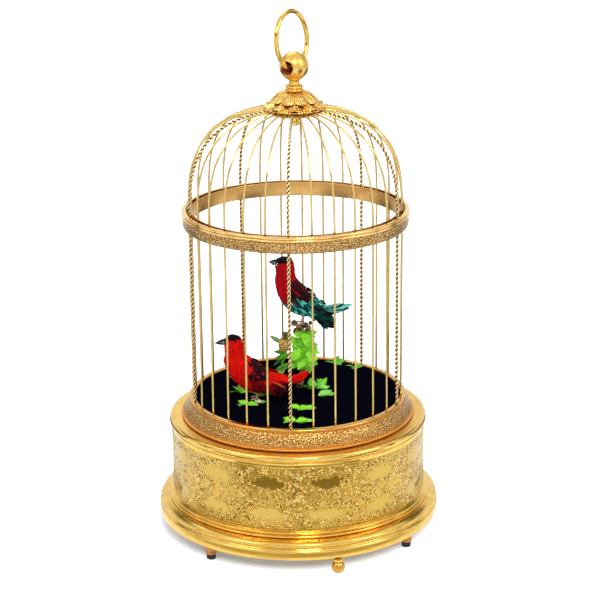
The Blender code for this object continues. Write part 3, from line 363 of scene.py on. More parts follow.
# %% Cards and lamps
def dark_arc(name, start, end, low, high, grey):
    """A dark flag that only reflections see: a strip round the cage from (radius, height) low to high."""
    card = Finish(name, (grey, grey * 0.84, grey * 0.40), roughness=0.9, Specular_IOR_Level=0.0)
    bm = bmesh.new()
    verts = [bm.verts.new((r, 0.0, z)) for r, z in (low, high)]
    edge = bm.edges.new(verts)
    bmesh.ops.rotate(bm, cent=(0, 0, 0), matrix=Matrix.Rotation(math.radians(start - 90), 3, "Z"), verts=verts)
    bmesh.ops.spin(bm, geom=[*verts, edge], cent=(0, 0, 0), axis=(0, 0, 1), dvec=(0, 0, 0),
                   angle=math.radians(end - start), steps=48, use_merge=False, use_duplicate=False)
    made = staged(name, bm, card.material)
    made.visible_camera = False
    made.visible_shadow = False
    made.visible_diffuse = False


def soft_lamp(name, power, size, at, look_at):
    light = bpy.data.lights.new(name, "AREA")
    light.shape = "DISK"
    light.size = size
    light.energy = power
    lamp = bpy.data.objects.new(name, light)
    bpy.context.scene.collection.objects.link(lamp)
    facing = (Vector(at) - Vector(look_at)).to_track_quat("Z", "Y").to_matrix().to_4x4()
    lamp.matrix_world = Matrix.Translation(at) @ facing


soft_lamp("lamp_left", 4.5, 0.7, (-0.9, -0.7, 1.1), (0, 0, 0.12))
soft_lamp("lamp_right", 4.0, 0.7, (1.0, -0.5, 0.9), (0, 0, 0.12))
soft_lamp("lamp_front", 5.5, 0.36, (0.16, -0.95, 1.12), (0, 0, 0.08))
soft_lamp("lamp_back", 3.0, 0.7, (-0.2, 0.9, 1.1), (0, 0, 0.12))
for side, turn in (("front", 0), ("back", 180)):
    dark_arc(f"low_flag_{side}", turn - 48, turn + 48, (0.170, 0.002), (0.240, 0.002), 0.33)
    dark_arc(f"rim_flag_{side}", turn - 80, turn + 80, (0.104, 0.001), (0.124, 0.001), 0.55)
    dark_arc(f"high_flag_{side}", turn - 60, turn + 60, (1.2, 0.72), (1.04, 0.98), 0.20)
    dark_arc(f"slit_flag_{side}", turn - 2.0, turn + 2.0, (0.130, 0.003), (0.236, 0.003), 0.01)
    for hand in (-1, 1):
        middle = turn + hand * 127
        dark_arc(f"wire_flag_{side}_{hand + 1}", middle - 19, middle + 19, (0.27, 0.002), (1.00, 0.002), 0.04)
for side, turn in (("left", -86), ("right", 86), ("back_left", -112), ("back_right", 112)):
    dark_arc(f"edge_flag_{side}", turn - 3, turn + 3, (1.3, 0.0), (1.3, 1.4), 0.05)
print("lamps:", sorted(light.name for light in bpy.data.lights))

# %% [markdown]
# ## Turned pieces
#
# Most of the cage is spun or turned metal, so one helper makes them all: it rounds the corners of an outline,
# spins it about the axis, and shades it smooth. A spin keeps an even ring of faces all round, where a screw
# modifier would leave a seam. The outlines are given in millimetres from a radius and a height of the model.

# %% Turning
def beside(radius, height, *corners):
    """Corners of (outwards, upwards, rounding) in millimetres from a radius and a height in metres."""
    return [(radius + out * MM, height + up * MM, ease * MM) for out, up, ease in corners]


def rounded(corners, steps=4):
    """An outline of (radius, height, rounding) in metres, with each corner eased by its rounding."""
    points = []
    for i, (r, z, ease) in enumerate(corners):
        here = Vector((r, z, 0))
        if ease <= 0 or i in (0, len(corners) - 1):
            points.append((r, z))
            continue
        before = Vector((*corners[i - 1][:2], 0))
        after = Vector((*corners[i + 1][:2], 0))
        start = here + (before - here).normalized() * min(ease, (before - here).length * 0.49)
        end = here + (after - here).normalized() * min(ease, (after - here).length * 0.49)
        bend = interpolate_bezier(start, start.lerp(here, 0.6), end.lerp(here, 0.6), end, steps + 1)
        points += [(p.x, p.y) for p in bend]
    return points


def spin_round(bm, geom, steps):
    """Spins an outline once about the axis and joins its end to its start."""
    bmesh.ops.spin(bm, geom=geom, cent=(0, 0, 0), axis=(0, 0, 1), dvec=(0, 0, 0), angle=2 * math.pi,
                   steps=steps, use_merge=True, use_duplicate=False)
    bmesh.ops.remove_doubles(bm, verts=bm.verts[:], dist=1e-7)
    bmesh.ops.recalc_face_normals(bm, faces=bm.faces[:])


def spun(outline, steps):
    """Spins an outline about the axis. If it starts on the axis it ends there too, or else it is closed."""
    bm = bmesh.new()
    verts = [bm.verts.new((r, 0.0, z)) for r, z in outline]
    edges = [bm.edges.new(pair) for pair in zip(verts, verts[1:])]
    if outline[0][0] > 0:
        edges.append(bm.edges.new((verts[-1], verts[0])))
    spin_round(bm, verts + edges, steps)
    return bm


print("turning ready")


# %% Placing pieces
def shaped(name, bm, finish, body, slot=None, replaces=(), sharp=38.0, matrix=None):
    """Makes the finished piece: its place goes into its mesh, and its object stays at the origin."""
    if matrix is not None:
        bmesh.ops.transform(bm, matrix=matrix, verts=bm.verts[:])
    mesh = as_mesh(bm, name)
    mesh.shade_smooth()
    if sharp:
        mesh.set_sharp_from_angle(angle=math.radians(sharp))
    piece = bpy.data.objects.new(name, mesh)
    bpy.context.scene.collection.objects.link(piece)
    mesh.materials.append(finish.material)
    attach(piece, body)
    if replaces:
        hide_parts(*replaces)
    return piece


def turned(name, corners, easing, steps, finish, replaces=(), body="case", slot="polished_gilt_brass", **more):
    """A turned piece. Each corner is eased in so many steps, and the outline is spun in so many."""
    return shaped(name, spun(rounded(corners, easing), steps), finish, body, slot, replaces, **more)


def add_copy(bm, mesh, matrix=Matrix()):
    """Adds a mesh to a growing one, moved by a matrix, and returns its new vertices."""
    before = len(bm.verts)
    bm.from_mesh(mesh)
    bm.verts.ensure_lookup_table()
    new = bm.verts[before:]
    bmesh.ops.transform(bm, matrix=matrix, verts=new)
    return new


def raised_verts(bm, faces):
    """Extrudes faces and returns the vertices of the new top, for the caller to move."""
    raised = bmesh.ops.extrude_face_region(bm, geom=faces)
    return [v for v in raised["geom"] if isinstance(v, bmesh.types.BMVert)]


def polar(radius, degrees_from_front):
    a = math.radians(degrees_from_front)
    return radius * math.sin(a), -radius * math.cos(a)


# %% [markdown]
# ## Gilt finishes
#
# The metal is brass under a warm gilding, and it comes in five finishes: mirror bright on the mouldings, engraved
# on the drum, embossed on the ring and band, stamped on the crown, and satin on the finial, on the shoulder of the
# drum and on the strip inside the wires. Tiny scratches and a slow change of polish keep a bright surface from
# looking like plastic, so every finish gets a little of both.

# %% Polished gilt
GILT = (0.88, 0.565, 0.130)
WORN = 0.88


def wear(finish, point):
    """Fine hairlines as a height in millimetres, and a slow cloud of polish as a mask."""
    cloud = finish.noise(point, 0.11, 3.0)
    lines = finish.noise(point, 3.2, 4.0, 0.7)
    return lines * 0.004, cloud.step(0.35, 0.70)


def polished_gilt(name="polished_gilt", colour=GILT, roughness=0.12):
    finish = Finish(name, colour, metallic=1.0, roughness=roughness)
    height, cloud = wear(finish, finish.point())
    finish.set("Base Color", finish.mix(cloud, colour, tuple(c * WORN for c in colour)))
    finish.set("Roughness", cloud * 0.09 + roughness)
    finish.bump(height)
    return finish


gilt = polished_gilt()
soft_gilt = polished_gilt("soft_gilt", (0.88, 0.56, 0.135), 0.20)
satin_gilt = polished_gilt("satin_gilt", (0.86, 0.54, 0.130), 0.27)
print("gilt:", GILT)

# %% [markdown]
# ## The engraved drum
#
# The drum is engraved all round with fourteen repeats of scrolled foliage: a column of blossoms, then two plain
# polished ovals one above the other, with leafy scrolls between them on a finely stippled ground. The pattern is
# drawn as formulas of two lengths: how far round the drum a point lies, folded at each column so that the scrolls
# mirror, and how high it lies. Cutting it as real grooves would take millions of faces, and the cuts are only a
# tenth of a millimetre deep, so they go into the bump and the colour. In the colour, the outlines of the ornament
# and the pits of the stipple are painted dark, which is painted shade in the cuts, with dark specks at random, and
# pale specks on the raised ornament are painted glints.

# %% Engraver's marks
def blossom(across, up, at, size, petals=5):
    """A flower with rounded petals, as a height from 0 to 1."""
    dx, dy = across - at[0], up - at[1]
    reach = distance(dx, dy) / size
    turn = dx.turn(dy)
    petal = abs((turn * (petals / 2)).cosine()) * 0.38 + 0.62
    body = (reach / petal).step(1.0, 0.72)
    vein = (turn * petals).cosine() * 0.5 + 0.5
    heart = reach.step(0.26, 0.14)
    return (body * (vein * 0.5 + 0.5)).most(heart * 1.2)


def scroll(across, up, at, size, turns, hand):
    """A leafy scroll: a spiral ridge with lobes along its outer edge, as a height from 0 to 1."""
    dx, dy = across - at[0], up - at[1]
    reach = distance(dx, dy) / size
    turn = (dy * hand).turn(dx)
    ridge = (turn / (2 * math.pi) + reach * turns).wrap(0.0, 1.0)
    wall = abs(ridge - 0.5).step(0.34, 0.12)
    lobes = abs((turn * 6.5 + reach * 5.0).sine()) * 0.24 + 0.80
    edge = (reach / lobes).step(1.0, 0.84)
    return wall * edge * (reach.step(0.05, 0.2) * 0.3 + 0.7)


def leaf_spray(across, up, at, lean, length, width):
    """One pointed leaf with side veins, as a height from 0 to 1."""
    c, s = math.cos(math.radians(lean)), math.sin(math.radians(lean))
    dx, dy = across - at[0], up - at[1]
    along = (dx * c + dy * s) / length
    aside = (dy * c - dx * s) / width
    swell = (along.wrap(0.0, 1.0) * math.pi).sine().power(0.7)
    inside = (abs(aside) / (swell + 0.01)).step(1.0, 0.75) * along.step(0.0, 0.04) * along.step(1.0, 0.96)
    veins = abs((along * 9.0 + abs(aside) * 1.6).wrap(0.0, 1.0) - 0.5) * 0.7 + 0.45
    rib = abs(aside).step(0.16, 0.06)
    return inside * (veins * (1.0 - rib) + rib * 0.25)


def oval(across, up, at, half_width, half_height):
    """Distance from an oval's edge: 0 at its middle and 1 on its edge."""
    return distance((across - at[0]) / half_width, (up - at[1]) / half_height)


print("marks: blossom, scroll, leaf spray and oval")

# %% One repeat of the ornament
DRUM_REPEATS = 14
drum_low, drum_high = 24.6, 61.7
drum_middle = (drum_low + drum_high) / 2
drum_face = 72.0
half_repeat = math.pi * drum_face / DRUM_REPEATS
# each place is (across, up) in millimetres from the column's middle
BLOSSOMS = (((0.0, 11.6), 3.5, 5), ((0.0, 1.2), 3.8, 6), ((0.0, -9.8), 3.2, 5))
# place, size, turns of the spiral and hand
SCROLLS = (((6.6, 6.6), 3.5, 1.5, 1), ((6.4, -4.6), 3.6, 1.6, -1), ((11.8, 1.0), 2.8, 1.4, 1),
           ((6.2, 15.2), 3.0, 1.4, -1), ((6.0, -14.6), 3.1, 1.5, 1), ((14.2, 15.8), 2.5, 1.3, 1),
           ((14.0, -15.9), 2.5, 1.3, -1))
# place, lean, length and width
SPRAYS = (((2.6, 3.6), 48, 5.0, 1.5), ((2.4, -2.2), -40, 5.2, 1.5), ((9.4, 3.6), 20, 5.4, 1.4),
          ((9.2, -2.4), -25, 5.2, 1.4), ((2.2, 13.8), 25, 4.6, 1.4), ((2.2, -12.0), -30, 4.6, 1.4),
          ((9.6, 14.6), 15, 4.8, 1.3), ((9.4, -14.8), -12, 4.8, 1.3), ((0.6, 6.0), 80, 4.0, 1.2),
          ((0.6, -4.6), -82, 4.0, 1.2))


def ornament_height(finish, point, across, up):
    marks = [blossom(across, up, *mark) for mark in BLOSSOMS]
    marks += [scroll(across, up, *mark) for mark in SCROLLS]
    marks += [leaf_spray(across, up, *mark) for mark in SPRAYS]
    ornament = marks[0]
    for mark in marks[1:]:
        ornament = ornament.most(mark)
    # small sprigs fill what the scrolls leave
    sprigs = abs(finish.noise(point, 0.30, 2.0, 0.6) - 0.5).step(0.040, 0.012)
    return ornament.most(sprigs * 0.7)


print("one repeat of the engraving is", round(2 * half_repeat, 1), "mm wide")


# %% Engraved finish
def engraved_gilt():
    finish = Finish("engraved_gilt", GILT, metallic=1.0, roughness=0.32)
    point = finish.point()
    x, y, z = finish.parts(point)
    across = abs((x.turn(-y) * drum_face).wrap(-half_repeat, half_repeat))
    # a slow wander keeps the engraver's lines from looking ruled
    across = across + (finish.noise(point, 0.16, 2.0) - 0.5) * 1.3
    up = z - drum_middle + (finish.noise(point, 0.21, 2.0) - 0.5) * 1.2
    ornament = ornament_height(finish, point, across, up)
    ragged = (finish.noise(point, 0.34, 3.0, 0.65) - 0.5) * 2.3
    upper_oval = oval(across, up, (half_repeat, 8.8), 10.5, 3.9)
    lower_oval = oval(across, up, (half_repeat, -9.4), 10.5, 3.7)
    panel = (upper_oval.least(lower_oval) + ragged).step(1.10, 0.84)
    stipple = finish.cells(point, 0.85).step(0.15, 0.45)
    flecks = finish.noise(point, 0.80, 2.0, 0.6)
    grain = finish.noise(point, 1.6, 3.0, 0.7)
    patch = finish.noise(point, 0.085, 2.0).step(0.38, 0.60) * 0.7 + 0.3
    worked = (1.0 - panel) * abs(up).step(18.3, 17.6)
    raised = ornament.step(0.22, 0.60)
    ground = (1.0 - raised) * worked
    cuts = ornament * 0.24 + flecks * raised * 0.42 + grain * 0.040
    finish.bump(cuts * worked + ground * stipple * 0.030)
    edge = ornament.step(0.02, 0.18) * ornament.step(0.55, 0.28) * worked
    # painted shade: dark in the cut outlines of the ornament and in the pits of the stipple, with dark specks at
    # random
    dark = flecks.step(0.53, 0.59) * (0.18 + raised * 0.66) + grain.step(0.58, 0.68) * 0.45
    dark = (dark + (1.0 - stipple) * ground * 0.30 + edge * 0.85) * worked * patch
    # painted glints: pale specks on the raised ornament
    bright = raised * flecks.step(0.53, 0.45) * 0.75 + (1.0 - raised) * flecks.step(0.47, 0.43) * 0.12
    tone = finish.noise(point, 0.045, 2.0).step(0.38, 0.62) * 0.7
    plated = finish.mix(tone, (0.70, 0.425, 0.076), (0.62, 0.37, 0.060))
    plated = finish.mix(panel, plated, (0.62, 0.40, 0.082))
    plated = finish.mix(bright * worked, plated, (1.0, 0.78, 0.28))
    finish.set("Base Color", finish.mix(dark.least(1.0), plated, (0.25, 0.10, 0.008)))
    finish.set("Roughness", 0.11 + worked * (0.06 + raised * 0.08))
    return finish


engraved = engraved_gilt()
print("engraved finish has", len(engraved.tree.nodes), "nodes")

# %% [markdown]
# ## The drum and its mouldings
#
# The housing is one spun shell: a rolled rim at the foot, a big quarter round, two beads, the engraved wall, a
# flat fillet and a rounded moulding on top. Three finishes share it, so the wall is turned as a thin sleeve of its
# own inside the moulding's outline, which keeps the engraving off the polished parts. The shoulder inside the top
# moulding is satin, and the ring stands on most of it.

# %% Drum outlines
drum_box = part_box("base_housing")
RIM = drum_box[1][0]
DRUM = 0.072
SHOULDER_INNER = 0.0602
rim_low = drum_box[0][2]
top_high = drum_box[1][2]
# from the foot up the outer side, then down the inside
foot_corners = beside(
    RIM, rim_low,
    (-1.8, 0, 0), (-0.2, 0, 0.4), (0, 0.6, 0.4), (0, 5.0, 0.8), (-1.2, 5.8, 0.5), (-1.6, 6.2, 0.2), (-0.4, 7.8, 1.2),
    (-1.6, 9.4, 1.4), (-4.8, 10.2, 0.4), (-6.6, 10.4, 0.1), (-5.3, 10.8, 0.4), (-5.3, 11.7, 0.4), (-6.8, 12.1, 0.1),
    (-6.2, 12.6, 0.4), (-6.2, 13.4, 0.4))
foot_corners += beside(DRUM, rim_low, (0.1, 13.9, 0.1), (-0.4, 14.3, 0), (-1.6, 14.3, 0), (-1.6, 12.0, 0))
foot_corners += beside(RIM, rim_low, (-4.2, 5.6, 0), (-4.2, 4.1, 0), (-1.8, 4.1, 0))
top_corners = beside(
    DRUM, top_high - 0.0062,
    (-1.6, -0.6, 0), (-0.4, -0.6, 0), (0.3, 0, 0.2), (0.3, 2.0, 0.2), (-0.4, 2.4, 0.1), (1.0, 2.9, 1.0),
    (1.2, 4.4, 1.2), (0.4, 6.2, 1.0), (-1.5, 6.2, 0.3))
top_corners += [(SHOULDER_INNER, top_high - 0.0001, 0), (SHOULDER_INNER, top_high - 0.0016, 0)]
top_corners += [(DRUM - 0.0016, top_high - 0.0016, 0)]
print("foot outline has", len(foot_corners), "corners, top", len(top_corners))


# %% Drum
def shoulder_gilt():
    """Bright on the rolled edge, and satin on the flat shoulder inside it."""
    finish = Finish("shoulder_gilt", GILT, metallic=1.0, roughness=0.12)
    point = finish.point()
    x, y, _ = finish.parts(point)
    height, cloud = wear(finish, point)
    shoulder = distance(x, y).step(71.2, 70.2)
    finish.set("Base Color", finish.mix(cloud, GILT, tuple(c * WORN for c in GILT)))
    finish.set("Roughness", cloud * 0.09 + 0.12 + shoulder * 0.20)
    finish.bump(height)
    return finish


turned("foot_moulding", foot_corners, 5, 256, gilt, sharp=50)
turned("top_moulding", top_corners, 5, 256, shoulder_gilt(), sharp=50)
wall = beside(DRUM, 0.0, (-1.5, drum_low, 0), (0, drum_low, 0), (0, drum_high, 0), (-1.5, drum_high, 0))
drum_wall = turned("drum_wall", wall, 1, 256, engraved, ("base_housing",), slot="engraved_gilt_brass")
print("drum wall", len(drum_wall.data.polygons), "faces")

# %% [markdown]
# ## The embossed ring and the band
#
# A narrow ring under the wires and the band half way up are rolled from strip with a fine embossed pattern: tight
# scrolls and grains that catch the light as sparkle, and on the ring three rows of beads. Only the plain edges are
# polished. The pattern comes from small cells and a folded noise, deep enough to sparkle and too fine to be worth
# cutting in the mesh. In the colour, the hollows between the scrolls and the gaps between the beads are painted
# dark, which is painted shade, and pale specks on the worked face are painted glints.

# %% Embossed gilt
BEAD_SPACING = 1.25
# the beads' own orange, then the painted shade between the beads and in the hollows of the embossing
BEAD_TINT, BEAD_GAP_SHADE, HOLLOW_SHADE = (0.86, 0.42, 0.085), (0.46, 0.10, 0.010), (0.29, 0.10, 0.012)


def embossed_gilt(name, colour, low, high, beads=()):
    """Granular ornament between the heights low and high, polished outside them, with rows of beads."""
    finish = Finish(name, colour, metallic=1.0, roughness=0.3)
    x, y, z = finish.parts(finish.point())
    turn = x.turn(-y) * 64.0
    flat = finish.vector(turn, z * 1.15, 0.0)
    worked = z.step(low, low + 0.25) * z.step(high, high - 0.25)
    curl = (abs(finish.noise(flat, 0.62, 1.0, 0.4) - 0.5) * 2.0).step(0.02, 0.20)
    grains = finish.cells(flat, 1.00).step(0.55, 0.12)
    fine = finish.noise(flat, 1.15, 2.0, 0.7)
    row = finish.number(0.0)
    for at in beads:
        row = row.most(abs(z - at).step(0.85, 0.55))
    pearl = row * ((turn * (2 * math.pi / BEAD_SPACING)).sine() * 0.5 + 0.5)
    finish.bump((curl * 0.16 + grains * 0.14 + fine * 0.14) * worked * (1.0 - row) + pearl * 0.30)
    # painted shade: darker in the hollows of the embossing and between the beads
    shaded_hollows = (1.0 - curl) * 0.40 + fine.step(0.49, 0.56) * 0.85 + (1.0 - grains) * 0.22
    shaded_hollows = (shaded_hollows * worked * (1.0 - row) + row * 0.12 + (row - pearl) * 0.42).least(1.0)
    # painted glints: pale specks on the worked face
    tint = finish.mix(fine.step(0.50, 0.42) * worked, colour, (0.94, 0.68, 0.28))
    tint = finish.mix(row, tint, BEAD_TINT)
    finish.set("Base Color", finish.mix(shaded_hollows, tint, finish.mix(row, HOLLOW_SHADE, BEAD_GAP_SHADE)))
    finish.set("Roughness", 0.14 + worked * 0.12)
    return finish


print("beads are", BEAD_SPACING, "mm apart")

# %% Seat ring
seat_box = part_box("seat_ring")
seat_low, seat_high = seat_box[0][2], seat_box[1][2]
SEAT_FOOT = seat_box[1][0]
SEAT_TOP = SEAT_FOOT - 0.0046
SEAT_INNER = SEAT_TOP - 0.0033
bead_rows = (seat_low / MM + 0.8, seat_low / MM + 1.9, seat_high / MM - 1.2)
frieze = embossed_gilt("embossed_gilt", (0.72, 0.415, 0.100), seat_low / MM + 0.2, seat_high / MM - 2.0,
                       bead_rows)
ring_corners = beside(SEAT_FOOT, seat_low, (-2.0, 0, 0), (-0.4, 0, 0.4), (0, 0.7, 0.5), (-0.4, 1.4, 0.4),
                      (-1.2, 1.6, 0.1), (-1.3, 2.6, 0.5), (-2.6, 6.0, 1.6))
ring_corners += beside(SEAT_TOP, seat_high, (-0.1, -2.2, 0.6), (-0.2, -1.9, 0.1), (0, -1.2, 0.5), (-0.2, 0, 0.6))
ring_corners += beside(SEAT_INNER, seat_high, (0, 0, 0.3), (0, -4.5, 0), (-4.0, -4.5, 0))
ring_corners += beside(SEAT_INNER, seat_low, (-4.0, 0, 0))
seat_ring = turned("seat_ring_spun", ring_corners, 4, 256, frieze, ("seat_ring",), slot="embossed_gilt_brass",
                   sharp=50)
print("seat ring", len(seat_ring.data.polygons), "faces,", round((seat_high - seat_low) / MM, 1), "mm high")

# %% [markdown]
# ## The band half way up
#
# The outer band has two thin polished beads above its worked face, and its lower edge is rolled in. The strip on
# the inner side of the wires is plain, with the satin of rolled metal. The two grip the wires between them.

# %% Bands
band_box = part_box("mid_band_outer")
band_low, band_high = band_box[0][2], band_box[1][2]
BAND_LIP = band_box[1][0]
BAND_FACE = BAND_LIP - 0.0008
BAND_BORE = 0.0608
band_face = embossed_gilt("embossed_band", (0.94, 0.64, 0.24), band_low / MM - 1.0, band_high / MM - 2.9)
band_corners = [(BAND_BORE, band_low + 0.0003, 0)]
band_corners += beside(BAND_FACE, band_low, (-0.6, 0, 0.4), (0, 0.7, 0.5), (0.2, 3.0, 1.0))
band_corners += beside(BAND_FACE, band_high, (0, -3.4, 0.8), (-0.3, -2.9, 0.1))
band_corners += beside(BAND_LIP, band_high, (-0.1, -2.7, 0.4), (0, -1.7, 0.5), (-1.0, -1.4, 0.1), (-0.3, -1.1, 0.3),
                       (-0.4, 0, 0.5))
band_corners += [(BAND_BORE, band_high, 0.0002)]
turned("band_outer_rolled", band_corners, 4, 256, band_face, ("mid_band_outer",), slot="embossed_gilt_brass",
       sharp=50)

strip_gilt = polished_gilt("brushed_gilt", (0.76, 0.44, 0.140), 0.25)
x, y, z = strip_gilt.parts(strip_gilt.point())
strip_gilt.bump(strip_gilt.noise(strip_gilt.vector(x * 0.05, y * 0.05, z * 5.0), 1.0, 4.0, 0.7) * 0.010)
strip_low, strip_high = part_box("mid_band_inner")
strip_corners = beside(strip_high[0], strip_low[2], (-0.8, 0, 0), (0, 0, 0.2))
strip_corners += beside(strip_high[0], strip_high[2], (0, 0, 0.3), (-0.8, 0, 0.3))
strip_corners += beside(strip_high[0], strip_low[2], (-0.8, 0.2, 0))
turned("band_strip_rolled", strip_corners, 3, 192, strip_gilt, ("mid_band_inner",), slot="brushed_gilt_brass",
       sharp=50)
print("band from", round(band_low, 4), "to", round(band_high, 4))

# %% [markdown]
# ## The wires
#
# Thirty wires spring from the ring, pass between the two bands and gather under the crown. Every sixth one is two
# thinner wires twisted together. A plain wire is a round section bridged along its path. A twisted one is two of
# them, each winding round the path, so the light breaks up on it as on a real twist. How deep each point lies
# between the strands goes into an attribute, which paints shade into the grooves of the twist and a paler gilt,
# a painted highlight, onto the crowns of the strands.

# %% Wire path
WIRES = 30
TWIST_PITCH = 0.0052
wire_radius = 0.0006
twist_radius = 0.0010
CAGE = 0.0595
DOME = 0.0554
DOME_POWER = 2.74
WIRE_END = 0.0110
wire_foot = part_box("plain_wire_01")[0][2]
spring_line = wire_foot + 0.1077
FRONT_TURN = -3.8


def wire_path(radius, steps):
    """Points (r, z) up the side and over the dome, evenly spaced, and the whole length."""
    slack = twist_radius - radius
    reach, rise = CAGE - slack, DOME + slack
    end = math.acos((WIRE_END / reach) ** (DOME_POWER / 2))
    dome_steps = 240
    path = [Vector((reach, wire_foot))]
    for i in range(dome_steps + 1):
        c, s = math.cos(end * i / dome_steps), math.sin(end * i / dome_steps)
        path.append(Vector((reach * c ** (2 / DOME_POWER), spring_line + rise * s ** (2 / DOME_POWER))))
    lengths = [0.0]
    for a, b in zip(path, path[1:]):
        lengths.append(lengths[-1] + (b - a).length)
    points, k = [], 0
    for i in range(steps + 1):
        want = lengths[-1] * i / steps
        while k < len(path) - 2 and lengths[k + 1] < want:
            k += 1
        share = (want - lengths[k]) / max(lengths[k + 1] - lengths[k], 1e-9)
        points.append(path[k].lerp(path[k + 1], min(share, 1.0)))
    return points, lengths[-1]


path, wire_length = wire_path(wire_radius, 56)
twist_turns = wire_length / TWIST_PITCH
twist_path, _ = wire_path(twist_radius, int(twist_turns * 12))
print("a wire is", round(wire_length / MM, 1), "mm long")


# %% Sweeping a wire
def direction(points, i):
    return (points[min(i + 1, len(points) - 1)] - points[max(i - 1, 0)]).normalized()


def sweep(points, radius, sides, taper=None):
    """A round section bridged along points. It keeps its turn from ring to ring, so it doesn't twist."""
    bm = bmesh.new()
    previous, side = None, None
    for i, point in enumerate(points):
        along = direction(points, i)
        if side is None:
            side = along.orthogonal().normalized()
        side = (side - along * side.dot(along)).normalized()
        frame_here = Matrix((side, along.cross(side), along)).transposed().to_4x4()
        frame_here.translation = point
        width = radius * (taper[i] if taper else 1.0)
        ends = i in (0, len(points) - 1)
        ring = bmesh.ops.create_circle(bm, cap_ends=ends, radius=width, segments=sides, matrix=frame_here)
        edges = list({edge for vert in ring["verts"] for edge in vert.link_edges})
        if previous:
            bmesh.ops.bridge_loops(bm, edges=previous + edges)
        previous = edges
    bmesh.ops.recalc_face_normals(bm, faces=bm.faces[:])
    return bm


plain = as_mesh(sweep([Vector((p.x, 0, p.y)) for p in path], wire_radius, 10), "plain_wire")
print("a plain wire has", len(plain.polygons), "faces")

# %% Twisting two strands
STRAND_SIDES = 6
STRAND_OFFSET = 0.00048
STRAND_RADIUS = 0.00052
wire_gilt = polished_gilt("wire_gilt", (0.86, 0.59, 0.20), 0.14)
twist_gilt = polished_gilt("twist_gilt", (0.86, 0.59, 0.20), 0.14)
# painted highlight and painted shade: paler gilt on the crowns of the strands, near-black in the grooves between them
twist_gilt.mottle(twist_gilt.attribute("groove", "number"), 0.06, 0.42, (0.96, 0.70, 0.32), (0.09, 0.028, 0.008))
strands = bmesh.new()
for strand in (0, 1):
    coil = []
    for i, p in enumerate(twist_path):
        along = direction(twist_path, i)
        out = Vector((along.y, 0, -along.x))
        a = math.pi * 2 * twist_turns * i / (len(twist_path) - 1) + math.pi * strand
        coil.append(Vector((p.x, 0, p.y)) + (out * math.cos(a) + Vector((0, 1, 0)) * math.sin(a)) * STRAND_OFFSET)
    half = as_mesh(sweep(coil, STRAND_RADIUS, STRAND_SIDES), "strand")
    depth = half.attributes.new("groove", "FLOAT", "POINT")
    for i, vert in enumerate(half.vertices):
        middle = twist_path[min(i // STRAND_SIDES, len(twist_path) - 1)]
        reach = (vert.co - Vector((middle.x, 0, middle.y))).length
        depth.data[i].value = min(max(1.15 - reach / 0.0008, 0.0), 1.0)
    strands.from_mesh(half)
twisted = as_mesh(strands, "twisted_wire")
print("a twisted wire has", len(twisted.polygons), "faces and", round(twist_turns, 1), "turns")

# %% Setting the wires
for kind, mesh, finish in (("plain", plain, wire_gilt), ("twisted", twisted, twist_gilt)):
    numbers = [i for i in range(WIRES) if (i % 6 == 0) == (kind == "twisted")]
    for group in range(0, len(numbers), 12):
        chosen = numbers[group:group + 12]
        bm = bmesh.new()
        bm.verts.layers.float.new("groove")
        for i in chosen:
            add_copy(bm, mesh, Matrix.Rotation(math.radians(-90 + FRONT_TURN + 360 * i / WIRES), 4, "Z"))
        names = tuple(f"{kind}_wire_{i:02d}" for i in chosen)
        made = shaped(f"{kind}_wires_{group // 12}", bm, finish, "case", "polished_gilt_brass", names, sharp=0)
        print(made.name, len(made.data.polygons), "faces")

# %% [markdown]
# ## The crown
#
# Where the wires meet, stamped metal covers their ends: a small scalloped plate below, and above it two rings of
# nine pointed leaves. The upper leaves are short and lie close to the bell. The lower ones reach wider, and each
# shows between two of the upper ones. A leaf starts as a flat grid. Its outline, its cupped section, its raised rib
# and its side veins come from where each point lies along and across it, and nine copies stand in a ring.

# %% Crown plate
crown_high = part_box("crown_cap")[1][2]
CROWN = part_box("crown_cap")[1][0]
PLATE_Z = 0.2431
CROWN_LEAVES = 9
SCALLOPS_START = 0.0145


def crown_plate():
    """The lower plate: a shallow cone with eighteen small scallops and a rolled edge."""
    corners = beside(0.0, PLATE_Z, (2.2, 4.0, 0), (11.0, 2.8, 1.0))
    corners += beside(CROWN, PLATE_Z, (-0.6, 0.9, 0.5), (0, 0.4, 0.4), (-0.6, 0, 0.4))
    corners += beside(0.0, PLATE_Z, (11.0, 1.8, 0), (2.2, 2.9, 0))
    bm = spun(rounded(corners, 3), 144)
    for vert in bm.verts:
        radius = math.hypot(vert.co.x, vert.co.y)
        turn = math.atan2(vert.co.y, vert.co.x)
        if radius > SCALLOPS_START:
            rise = min(1.0, (radius - SCALLOPS_START) / 0.002)
            depth = 0.0009 * (1 - abs(math.cos(CROWN_LEAVES * turn))) * rise
            vert.co.x *= 1 - depth / radius
            vert.co.y *= 1 - depth / radius
    return bm


print("crown top at", round(crown_high, 4), "and plate at", PLATE_Z)


